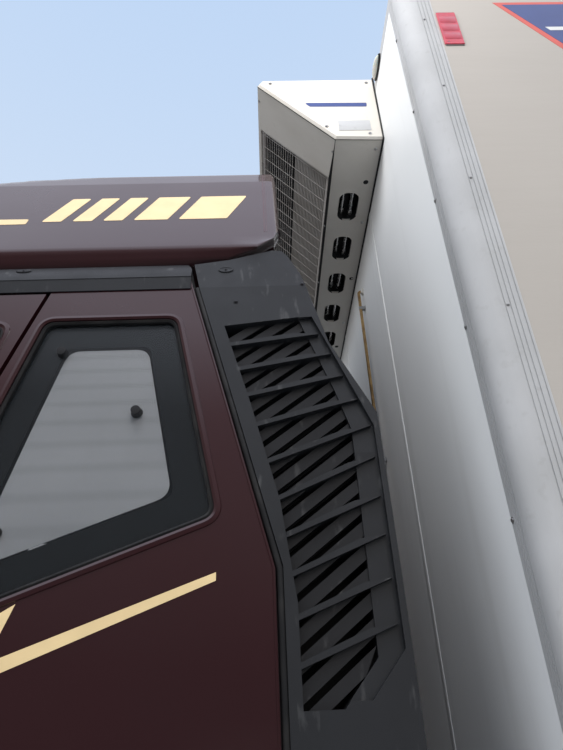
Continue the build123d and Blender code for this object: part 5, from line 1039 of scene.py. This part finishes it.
# Columns: name, middle y, half width, channels across the cushion, places of the headrests
SEATS = [("driver", 0.560, 0.246, (-0.62, 0.62), (0.0,)),
         ("passenger", -0.480, 0.366, (-0.40, 0.0, 0.40), (-0.19, 0.19))]
for name, y, half, channels, heads in SEATS:
    pad("seat_cushion_" + name, (3.387, y, 1.466), AHEAD, UP, (0.264, half, 0.062), 0.28, channels)
    pad("seat_back_" + name, (3.136, y, 1.762), BACK_UP, BACK_FRONT, (0.225, half - 0.01, 0.060), 0.30, channels)
    posts = Form()
    for i, shift in enumerate(heads):
        pad(f"seat_headrest_{name}_{i + 1}", (3.074, y + shift, 2.082), BACK_UP, BACK_FRONT, (0.078, 0.130, 0.044),
            0.35, ())
        for side in (-0.055, 0.055):
            posts.bar((3.098, y + shift + side, 1.950), (3.084, y + shift + side, 2.030), 0.0055, 12)
    posts.piece("seat_headrest_posts_" + name, "cab", ["screw"], "aluminium", 38, ["seats"])
    base = Form()
    wide = half - 0.045
    outline = rounded(rectangle(3.212, 3.566, y - wide, y + wide), 0.05)
    base.prism(outline, lambda a, b, z: Vector((a, b, z)), FLOOR_Z, FRAME_Z)
    base.stack(outline, [(0.026 if i % 2 else 0.010, FRAME_Z + i * 0.188 / FOLDS) for i in range(FOLDS + 1)],
               lambda a, b, z: Vector((a, b, z)))
    base.slot = 1
    base.block((3.389, y, 1.392), (0.178, wide, 0.009), 0.003)
    for side in (-1, 1):
        base.block((3.389, y + side * (wide + 0.016), 1.398), (0.170, 0.006, 0.014), 0.003)
        base.bar((3.470, y + side * (wide + 0.020), 1.398), (3.560, y + side * (wide + 0.020), 1.398), 0.006, 10)
    base.piece("seat_base_" + name, "cab", ["inside_plastic", "chassis"], "interior_plastic", 38, ["seats"])

# Tyres: curved sidewalls, ribs with zigzag grooves and notched shoulders. Columns: across, radius
TREAD_TOP, TREAD_FLOOR = 0.505, 0.4915
GROOVES = (-0.050, -0.017, 0.017, 0.050)
TYRE_PARTS = 150
SIDEWALL_BARS = 60
NOTCH = 0.0075
TYRE_HALF = [(0.0880, 0.2885), (0.0940, 0.3000), (0.1085, 0.3230), (0.1100, 0.3260), (0.1115, 0.3262), (0.1190, 0.3500),
             (0.1245, 0.3760), (0.1272, 0.3800), (0.1273, 0.3880), (0.1250, 0.3920), (0.1235, 0.4200), (0.1190, 0.4450),
             (0.1130, 0.4640), (0.1085, 0.4720), (0.0985, 0.4860), (0.0880, 0.4985)]


def tyre(form, axle, y):
    """Add one tyre about a point of its axle."""
    rings = []
    for i in range(TYRE_PARTS):
        angle = 2 * math.pi * i / TYRE_PARTS
        shift = 0.0028 * (1 if i % 6 < 3 else -1)
        profile = [(-across, radius) for across, radius in TYRE_HALF] + [(-0.0830, TREAD_TOP)]
        for at in GROOVES:
            profile += [(at + shift + edge, radius) for edge, radius in
                        ((-0.0058, TREAD_TOP), (-0.0038, TREAD_FLOOR), (0.0038, TREAD_FLOOR), (0.0058, TREAD_TOP))]
        profile += [(0.0830, TREAD_TOP)] + TYRE_HALF[::-1] + [(0.0860, 0.2872), (-0.0860, 0.2872)]
        ring = []
        for across, radius in profile:
            if i % 5 == 0 and radius > 0.480 and abs(across) > 0.0650:
                radius -= NOTCH
            ring.append(axle + Vector((radius * math.sin(angle), y + across, -radius * math.cos(angle))))
        rings.append(ring)
    form.loft(rings, closed=True)
    for side in (1, -1):
        for b, a in ellipse(SIDEWALL_BARS, 1, 1, 0.5):
            out, foot = Vector((a, 0, -b)), axle + Vector((0, y, 0))
            form.bar(foot + Vector((0, side * 0.1205, 0)) + out * 0.4440,
                     foot + Vector((0, side * 0.1105, 0)) + out * 0.4700, 0.0016, 5)


TWIN_Y, TWIN_SHIFT = 0.930, 0.1575
# Columns: word, node's word, axle, places of the tyres, face of the disc, nut circle, end of the hub, radius of
# its cap, valve's place beside the disc
WHEELS = [("front", "front_tyre", FRONT_AXLE, (1.000,), 1.132, 0.1420, 1.150, 0.088, -0.020),
          ("rear", "rear_tyres", REAR_AXLE, (TWIN_Y + TWIN_SHIFT, TWIN_Y - TWIN_SHIFT), 0.942, 0.1460, 1.050,
           0.066, 0.060)]
for name, side in SIDES:
    out = (0, side, 0)
    for word, node, axle, places in (row[:4] for row in WHEELS):
        tread = Form()
        for y in places:
            tyre(tread, axle, side * y)
        tread.piece(f"{node}_tread_{name}", f"wheel_{word}_{name}", ["tyre"], "tyre_rubber", 28, [f"{node}_{name}"])
    for word, _, axle, _, face_y, circle, hub_y, cap, valve in WHEELS:
        bits = Form()
        for a, b in ellipse(10, circle, circle, 0.5):
            bits.nut(axle + Vector((a, side * face_y, b)), out, 0.0165, 0.0200)
        bits.slot = 1
        bits.turn(axle + Vector((0, side * hub_y, 0)), out,
                  [(-0.004, cap), (0.006, cap), (0.008, cap * 0.93), (0.012, cap * 0.88), (0.015, cap * 0.6),
                   (0.016, cap * 0.2)], 32)
        for a, b in ellipse(8, cap * 0.80, cap * 0.80):
            bits.turn(axle + Vector((a, side * (hub_y + 0.011), b)), out,
                      [(-0.002, 0.0060), (0.0050, 0.0060), (0.0062, 0.0050)], 6)
        bits.slot = 2
        stem = axle + Vector((0.245, side * (face_y + valve), 0.0))
        bits.tube([stem + Vector((0.012, -side * 0.012, 0)), stem, stem + Vector((-0.010, side * 0.024, 0))], 0.0042)
        bits.piece(f"wheel_fittings_{word}_{name}", f"wheel_{word}_{name}", ["screw", "rim", "brass"], "rim_paint")

# Headlamps: reflector bowls with bulbs and a bezel behind each clear lens. Columns: depth, share of the radius
BOWL = [(0.0, 1.0), (-0.012, 0.96), (-0.028, 0.82), (-0.040, 0.60), (-0.047, 0.30),
        (-0.050, 0.34), (-0.043, 0.66), (-0.030, 0.88), (-0.012, 1.04), (0.0, 1.06)]
BEZEL = [(-0.004, 1.07), (0.003, 1.07), (0.003, 1.16), (-0.004, 1.16)]
for name, side in SIDES:
    lamps = Form()
    for y, front_x, radius in ((0.852, 4.388, 0.052), (0.985, 4.350, 0.050)):
        at = (front_x, side * y, 0.725)
        lamps.slot = 0
        lamps.turn(at, AHEAD, [(along, radius * share) for along, share in BOWL], 36, closed=True)
        lamps.slot = 1
        lamps.turn(at, AHEAD, [(-0.046, 0.007), (-0.022, 0.007), (-0.016, 0.005), (-0.013, 0.002)], 14)
        lamps.slot = 2
        lamps.turn(at, AHEAD, [(along, radius * share) for along, share in BEZEL], 36, closed=True)
    lamps.piece("headlamp_bowls_" + name, "chassis", ["reflector", "lamp_pale", "dark"], "lamp_clear")

# Front: grille mesh, wipers and the blank plates at both ends
mesh_bars = Form()
for low in (1.050, 1.120, 1.190, 1.260):
    for i in range(67):
        y = -0.660 + i * 0.020
        mesh_bars.bar(on_front(y, low - 0.002, 0.004), on_front(y, low + 0.042, 0.004), 0.0019, 6)
    for rise in (0.013, 0.027):
        mesh_bars.tube([on_front(-0.668 + 0.0668 * i, low + rise, 0.006) for i in range(21)], 0.0014, 6)
mesh_bars.piece("front_grille_mesh", "cab", ["black_screw"], "fairing_plastic")

WIPER_REACH = -0.58
wipers = Form()
for y in (0.62, -0.02):
    wipers.slot = 0
    foot = on_front(y, 1.612, -0.006)
    wipers.turn(foot, (1, 0, 0.2), [(-0.006, 0.019), (0.006, 0.019), (0.011, 0.014), (0.013, 0.008)], 18)
    wipers.tube([foot + Vector((0.006, 0, 0.004)), on_front(y + WIPER_REACH * 0.25, 1.650, -0.017),
                 on_front(y + WIPER_REACH * 0.55, 1.700, -0.017)], 0.0048, 8)
    wipers.slot = 1
    blade = [on_front(y + WIPER_REACH * (0.10 + 0.90 * i / 12), 1.690 + 0.020 * i / 12, -0.007) for i in range(13)]
    wipers.tube(blade, 0.0045, 8)
    wipers.tube([p + Vector((-0.005, 0, 0.0)) for p in blade], 0.0024, 6)
wipers.piece("wipers", "cab", ["black_screw", "seal"], "black_plastic")

plates = Form()
plates.prism(rounded(rectangle(-0.220, 0.220, 0.532, 0.630), 0.010), facing_x(), 4.462, 4.4645)
plates.slot = 1
plates.stack(rounded(rectangle(-0.226, 0.226, 0.526, 0.636), 0.014),
             [(0.0, 4.460), (0.0, 4.467), (0.005, 4.4675), (0.008, 4.4640), (0.008, 4.460)], facing_x(), closed=True)
plates.slot = 0
plates.prism(rounded(rectangle(-0.220, 0.220, 0.536, 0.672), 0.010), facing_x(), -4.416, -4.4185)
plates.slot = 1
for y in (-0.150, 0.150):
    plates.block((-4.409, y, 0.590), (0.007, 0.018, 0.085), 0.002)
plates.slot = 2
for y in (-0.160, 0.160):
    plates.screw((-4.4185, y, 0.604), REARWARD)
    plates.screw((4.4645, y, 0.581), AHEAD)
plates.piece("blank_plates", "chassis", ["white_film", "black_plastic", "screw"], "body_panel")

for name, side in SIDES:
    flank, across, out = on_flank(side), facing_x(side), (0, side, 0)

    # Indicator, step treads and door handle
    indicator = Form()
    indicator.stack(rounded(rectangle(3.590, 3.690, 1.000, 1.050), 0.014),
                    [(-0.004, 1.1455), (-0.004, 1.150), (0.0, 1.153), (0.003, 1.159), (0.012, 1.163)], facing_y(side))
    indicator.piece("side_indicator_" + name, "chassis", ["lamp_amber"], "lamp_clear")
    treads = Form()
    for floor_z in (0.470, 0.760):
        for i in range(9):
            treads.block((3.725 + i * 0.0245, side * 1.020, floor_z + 0.0028), (0.0045, 0.112, 0.0035), 0.0015)
        treads.block((3.823, side * 1.140, floor_z + 0.001), (0.110, 0.0045, 0.006), 0.002)
    treads.piece("step_treads_" + name, "chassis", ["galvanised"], "fairing_plastic")
    handle = Form()
    handle.stack(rounded(rectangle(3.300, 3.480, 1.385, 1.465), 0.030),
                 [(0.0, 0.001), (0.0, -0.003), (0.004, -0.0045), (0.010, -0.002), (0.010, 0.001)], flank, closed=True)
    handle.slot = 1
    handle.stack(rounded(rectangle(3.315, 3.465, 1.408, 1.446), 0.016),
                 [(0.006, 0.001), (0.004, -0.010), (0.0, -0.016), (0.0, -0.022), (0.006, -0.027)], flank)
    handle.slot = 2
    handle.turn(flank(3.330, 1.398, 0.0), out, [(0.0, 0.009), (0.005, 0.009), (0.006, 0.007)], 20)
    handle.piece("door_handle_" + name, "door_" + name, ["seal", "paint", "screw"], "cab_paint")

    # Mirrors: a tall glass and a wide-angle glass, each in a bezel, facing rearwards
    glasses = Form()
    for low, high in ((1.865, 2.235), (1.705, 1.845)):
        pane = rounded(rectangle(1.236, 1.399, low, high), 0.022)
        glasses.slot = 0
        glasses.stack(pane, [(0.0, 4.291), (0.0, 4.2885), (0.010, 4.2875)], across)
        glasses.slot = 1
        glasses.stack(pane, [(-0.005, 4.291), (-0.005, 4.286), (-0.001, 4.284), (0.004, 4.287), (0.004, 4.291)], across,
                      closed=True)
    glasses.piece("mirror_glasses_" + name, "cab", ["mirror_glass", "seal"], "black_plastic")

    # Tail lamps: three lens fields with fine ribs
    lens = Form()
    for slot, (first, last) in enumerate(((0.985, 1.114), (0.850, 0.975), (0.706, 0.840))):
        lens.slot = slot
        lens.stack(rounded(rectangle(first, last, 0.566, 0.684), 0.012),
                   [(0.0, -4.455), (0.0, -4.461), (0.004, -4.465), (0.012, -4.466)], across)
        for i in range(8):
            z = 0.582 + i * 0.0123
            lens.bar(across(first + 0.014, z, -4.4655), across(last - 0.014, z, -4.4655), 0.0016, 6)
    lens.slot = 3
    for y in (0.845, 0.980):
        lens.screw(across(y, 0.625, -4.457), REARWARD, 0.0045)
    lens.piece("tail_lamp_lenses_" + name, "chassis", ["lamp_red", "lamp_amber", "lamp_pale", "screw"], "lamp_red")

    # Cargo door: seal round its edge and hinge bolts
    seal = Form()
    seal.frame(rectangle(0.010, 1.212, 1.186, 3.659),
               [(0.0, 0.010, -4.458), (0.0, 0.010, -4.464), (0.005, 0.010, -4.467), (0.012, 0.010, -4.464),
                (0.012, 0.010, -4.458)], across, 4)
    seal.slot = 1
    for z in (1.400, 2.100, 2.800, 3.500):
        for y in (1.100, 1.160):
            seal.nut(across(y, z, -4.4605), REARWARD, 0.008, 0.007)
    seal.piece("cargo_door_seal_" + name, "cargo_" + name, ["seal", "screw"], "tyre_rubber")

    # Rear mud flap ribs, and the hazard bars of the underrun
    flap = Form()
    for i in range(9):
        flap.block(across(0.690 + i * 0.060, 0.470, -2.4895), (0.0022, 0.007, 0.118), 0.001)
    flap.slot = 1
    for y in (0.700, 0.935, 1.170):
        flap.nut(across(y, 0.618, -2.4880), REARWARD, 0.008, 0.007)
    flap.piece("mud_flap_ribs_" + name, "chassis", ["seal", "screw"], "black_plastic")
    stripes = Form()
    for i in range(10):
        y = 0.075 + i * 0.112
        stripes.slot = i % 2
        stripe = [(y, 0.430), (y + 0.102, 0.430), (y + 0.112, 0.510), (y + 0.010, 0.510)]
        stripes.prism(stripe, across, -4.4198, -4.4210)
    stripes.piece("underrun_stripes_" + name, "chassis", ["red", "white_film"], "body_panel")

# Fuel tank: two straps with their bolts, the filler cap and a sender plate
CAP_X, CAP_Y = 1.340, -0.960
SENDER_X, SENDER_Y = 1.120, -0.900
tank = Form()
strap = rounded(rectangle(-1.190, -0.640, 0.450, 0.985), 0.112, 8, 3)
for x in (0.960, 1.700):
    tank.stack(strap, [(0.001, x - 0.026), (-0.0035, x - 0.026), (-0.0035, x + 0.026), (0.001, x + 0.026)], facing_x(),
               closed=True)
    tank.nut((x, -1.188, 0.700), (0, -1, 0), 0.009, 0.010)
tank.slot = 1
tank.turn((CAP_X, CAP_Y, 0.985), UP, [(-0.002, 0.046), (0.012, 0.046), (0.012, 0.052), (0.036, 0.052), (0.041, 0.047),
                                      (0.042, 0.020)], 28)
for a, b in ellipse(20, 0.052, 0.052):
    tank.bar((CAP_X + a, CAP_Y + b, 0.999), (CAP_X + a, CAP_Y + b, 1.020), 0.0022, 6)
tank.slot = 2
tank.turn((SENDER_X, SENDER_Y, 0.985), UP, [(-0.002, 0.038), (0.004, 0.038), (0.005, 0.036)], 24)
for a, b in ellipse(5, 0.028, 0.028):
    tank.screw((SENDER_X + a, SENDER_Y + b, 0.989), UP, 0.0038)
tank.piece("fuel_tank_fittings", "chassis", ["galvanised", "seal", "screw"], "aluminium")

# Battery box: ribs on the lid, latches and a grab handle
battery = Form()
for i in range(9):
    battery.block((1.290 + i * 0.069, 0.935, 0.9760), (0.008, 0.225, 0.0030), 0.002)
battery.slot = 1
for x in (1.360, 1.770):
    battery.block((x, 1.203, 0.905), (0.018, 0.004, 0.044), 0.002)
    battery.tube([(x - 0.012, 1.207, 0.875), (x - 0.012, 1.212, 0.850), (x + 0.012, 1.212, 0.850),
                  (x + 0.012, 1.207, 0.875)], 0.0025, 8)
battery.tube([(1.500, 1.199, 0.915), (1.500, 1.226, 0.915), (1.630, 1.226, 0.915), (1.630, 1.199, 0.915)], 0.0055)
battery.piece("battery_box_fittings", "chassis", ["black_plastic", "screw"], "black_plastic")


# Bolts and rivets found on the surfaces they hold
def studs(nodes, starts, ahead, add, radius, height):
    """Put a bolt or a rivet where the line from each start first meets some solids face on."""
    tree, ahead = surface_of(*nodes), Vector(ahead)
    for start in starts:
        hit, normal, _, _ = tree.ray_cast(Vector(start), ahead)
        if hit is not None and normal.dot(ahead) < -0.97:
            add(hit, -ahead, radius, height)


def spaced(first, last, step):
    """Return numbers from whole millimetres, in metres."""
    return [x * 0.001 for x in range(first, last, step)]


bolts, rivets = Form(), Form()
for side in (1, -1):
    inwards = (0, -side, 0)
    runs = [(x, side * 0.60, z) for x in spaced(-4200, 3900, 225) for z in (0.760, 0.905)]
    studs(["frame_rails"], runs, inwards, bolts.nut, 0.009, 0.009)
    runs = [(x, side * 1.5, z) for x in (-1.180, -0.410, 0.360) for z in (0.475, 0.515, 0.765, 0.805)]
    studs(["side_guards"], runs, inwards, bolts.nut, 0.007, 0.007)
    runs = [(x, side * 1.6, z) for x in spaced(-4350, 2020, 182) for z in (1.120, 1.158, 3.690)]
    studs(["box_floor", "corner_profiles", "box_roof"], runs, inwards, rivets.screw, 0.0048, 0.003)
    runs = [(-5.0, side * 1.240, z) for z in spaced(1200, 3700, 190)]
    runs += [(-5.0, side * y, z) for y in (0.10, 0.30, 0.50, 0.70, 0.90, 1.10) for z in (1.120, 3.690)]
    studs(["rear_door_frame"], runs, AHEAD, rivets.screw, 0.0048, 0.003)
bolts.piece("chassis_bolts", "chassis", ["screw"], "cast_iron")
rivets.piece("box_rivets", "chassis", ["screw"], "aluminium")

# Dashboard: dials under a hood, vents, a radio bay, and the steering wheel's grip, boss and spokes
dash = Form()
slope = Vector((-0.38, 0, 0.925)).normalized()
slope_rise = Vector((slope.z, 0, -slope.x))
across = Vector((0, 1, 0))
# Columns: place of the dial, radius
for place, radius in (((4.080, 0.620, 1.599), 0.050), ((4.080, 0.500, 1.599), 0.050), ((4.135, 0.560, 1.6215), 0.022)):
    at = Vector(place)
    dash.slot = 0
    dash.turn(at, slope, [(-0.002, radius), (0.012, radius), (0.012, radius * 0.88), (0.002, radius * 0.86)], 30,
              closed=True)
    dash.slot = 1
    dash.turn(at, slope, [(0.001, radius * 0.87), (0.003, radius * 0.87)], 30)
    dash.slot = 2
    for i in range(11):
        angle = math.radians(-130 + 26 * i)
        out = slope_rise * math.cos(angle) + across * math.sin(angle)
        dash.bar(at + slope * 0.0035 + out * radius * 0.66, at + slope * 0.0035 + out * radius * 0.82, 0.0008, 5)
dash.slot = 0
for y in (-0.780, -0.240, 0.240, 0.830):
    for i in range(5):
        dash.block((3.9785 + 0.0025 * i, y, 1.490 + 0.014 * i), (0.006, 0.070, 0.0028), 0.001)
dash.slot = 1
dash.block((3.979, 0.0, 1.515), (0.007, 0.092, 0.026), 0.003)
dash.slot = 2
for y in (-0.070, 0.070):
    dash.turn((3.974, y, 1.515), REARWARD, [(0.0, 0.011), (0.010, 0.010), (0.011, 0.008)], 18)
dash.piece("dashboard_details", "cab", ["inside_plastic", "frit", "screw"], "interior_plastic")

WHEEL_RADIUS = 0.225
wheel = Form()
hub = Vector((3.860, 0.560, 1.720))
lean, rise = Vector((-1, 0, 1)).normalized(), Vector((1, 0, 1)).normalized()
grip = []
for i, (a, b) in enumerate(ellipse(72, 1, 1)):
    out = rise * a + across * b
    thick = 0.0165 + 0.0012 * math.cos(2 * math.pi * i / 3)
    grip.append([hub + out * (WHEEL_RADIUS + c) + lean * d for c, d in ellipse(12, thick, thick)])
wheel.loft(grip, closed=True)
wheel.turn(hub, lean, [(-0.010, 0.070), (0.012, 0.070), (0.022, 0.058), (0.026, 0.030)], 32)
wheel.slot = 1
for out in (across, -across, -rise):
    wheel.tube([hub + out * 0.050 + lean * 0.010, hub + out * 0.130 + lean * 0.004, hub + out * 0.222], 0.011)
wheel.piece("steering_wheel_grip", "cab", ["seal", "inside_plastic"], "interior_plastic")

# Fairing lattices: the diagonal bars' faces, just behind the fins' outer edges
FAIRING_OPENING = [(2.649, 2.417), (2.589, 2.200), (2.525, 1.943), (2.499, 1.740), (2.499, 1.560), (2.425, 1.560),
                   (2.355, 1.640), (2.355, 2.110), (2.383, 2.215), (2.457, 2.440)]
BAR_AHEAD = Vector((math.cos(math.radians(143)), math.sin(math.radians(143))))
BAR_ACROSS = Vector((-BAR_AHEAD.y, BAR_AHEAD.x))
BAR_HALF_WIDTH = 0.0122
BAR_DEPTHS = (0.0180, 0.0240)


def inside_run(start):
    """Return where a line along the bars enters and leaves the fairing's opening."""
    crossings = []
    for first, second in zip(FAIRING_OPENING, FAIRING_OPENING[1:] + FAIRING_OPENING[:1]):
        a, b = Vector(first) - start, Vector(second) - start
        off_a, off_b = a.dot(BAR_ACROSS), b.dot(BAR_ACROSS)
        if (off_a > 0) != (off_b > 0):
            crossings.append(a.lerp(b, off_a / (off_a - off_b)).dot(BAR_AHEAD))
    return (min(crossings), max(crossings)) if crossings else None


for name, side in SIDES:
    slats, flank = Form(), on_flank(side)
    for i in range(23):
        middle = Vector((2.450, 1.480 + 0.047 * i))
        starts = [middle + BAR_ACROSS * shift for shift in (-BAR_HALF_WIDTH, BAR_HALF_WIDTH)]
        runs = [inside_run(start) for start in starts]
        if all(runs):
            rings = []
            for step in range(13):
                first, second = [start + BAR_AHEAD * (low + (high - low) * step / 12)
                                 for start, (low, high) in zip(starts, runs)]
                rings.append([flank(*first, BAR_DEPTHS[0]), flank(*second, BAR_DEPTHS[0]),
                              flank(*second, BAR_DEPTHS[1]), flank(*first, BAR_DEPTHS[1])])
            slats.loft(rings)
    slats.piece("fairing_lattice_faces_" + name, "cab", ["lattice"], "fairing_plastic")


# Light, floor and background
SKY = [(0.0, (0.55, 0.54, 0.53)), (0.30, (0.66, 0.70, 0.76)), (0.48, (0.74, 0.85, 1.0)), (1.0, (0.54, 0.72, 1.0))]
MIRRORED = [(0.10, (0.085, 0.080, 0.080)), (0.30, (0.16, 0.155, 0.155)), (0.58, (0.21, 0.20, 0.21)),
            (0.74, (0.74, 0.78, 0.88)), (1.0, (0.82, 0.86, 1.0))]
WORLD_STRENGTH = 0.92
FLOOR_REACH = 40


def ramp(tree, height, stops):
    """Return colours that follow a height. Columns of stops: height, colour."""
    made = tree.nodes.new("ShaderNodeValToRGB")
    tree.links.new(height, made.inputs["Fac"])
    elements = made.color_ramp.elements
    for i in (0, -1):
        elements[i].position, elements[i].color = stops[i][0], (*stops[i][1], 1)
    for position, colour in stops[1:-1]:
        elements.new(position).color = (*colour, 1)
    return made.outputs["Color"]


def light_world(world):
    """Give the world a pale sky, and a darker horizon where glossy surfaces mirror it."""
    world.use_nodes = True
    tree = world.node_tree
    coords, split, path, mixed = (tree.nodes.new("ShaderNode" + kind)
                                  for kind in ("TexCoord", "SeparateXYZ", "LightPath", "Mix"))
    mixed.data_type = "RGBA"
    tree.links.new(coords.outputs["Generated"], split.inputs[0])
    height = split.outputs["Z"]
    background = tree.nodes["Background"]
    for source, target in ((path.outputs["Is Glossy Ray"], mixed.inputs["Factor"]),
                           (ramp(tree, height, SKY), mixed.inputs[6]), (ramp(tree, height, MIRRORED), mixed.inputs[7]),
                           (mixed.outputs[2], background.inputs["Color"])):
        tree.links.new(source, target)
    background.inputs["Strength"].default_value = WORLD_STRENGTH


def add_lamp(light, energy, toward, place=(0, 0, 0)):
    """Link a lamp that shines against the toward direction and leaves no mirror image."""
    light.energy = energy
    lamp = bpy.data.objects.new(light.name, light)
    lamp.location = place
    lamp.rotation_euler = Vector(toward).to_track_quat("Z", "Y").to_euler()
    lamp.visible_glossy = False
    bpy.context.scene.collection.objects.link(lamp)


def light_scene():
    scene = bpy.context.scene
    scene.view_settings.view_transform = "Standard"
    scene.world = bpy.data.worlds.new("studio")
    light_world(scene.world)
    for name, energy, spread, colour, toward in (("sun", 1.45, 40, (1.0, 0.93, 0.84), (-0.30, 0.85, 0.42)),
                                                 ("fill", 0.7, 70, (1.0, 0.98, 0.95), (0.90, 0.35, 0.30))):
        light = bpy.data.lights.new(name, "SUN")
        light.angle, light.color = math.radians(spread), colour
        add_lamp(light, energy, toward)
    light = bpy.data.lights.new("gap_light", "AREA")
    light.shape, light.size = "DISK", 1.2
    place = Vector((2.85, 1.95, 4.30))
    add_lamp(light, 34.0, place - Vector((2.07, 0.9, 2.5)), place)

    floor_mesh = bpy.data.meshes.new("floor")
    floor_line = rectangle(-FLOOR_REACH, FLOOR_REACH, -FLOOR_REACH, FLOOR_REACH)
    floor_mesh.from_pydata([(x, y, 0) for x, y in floor_line], [], [(0, 1, 2, 3)])
    g = Graph("floor", (0.52, 0.52, 0.51), 0.8)
    floor_mesh.materials.append(g.finish(g.mix(g.patches(0.7, 6, 0.3, 0.7), (0.54, 0.54, 0.53), (0.49, 0.49, 0.48))))
    floor = bpy.data.objects.new("floor", floor_mesh)
    scene.collection.objects.link(floor)
    floor.visible_glossy = False


place_camera()
light_scene()
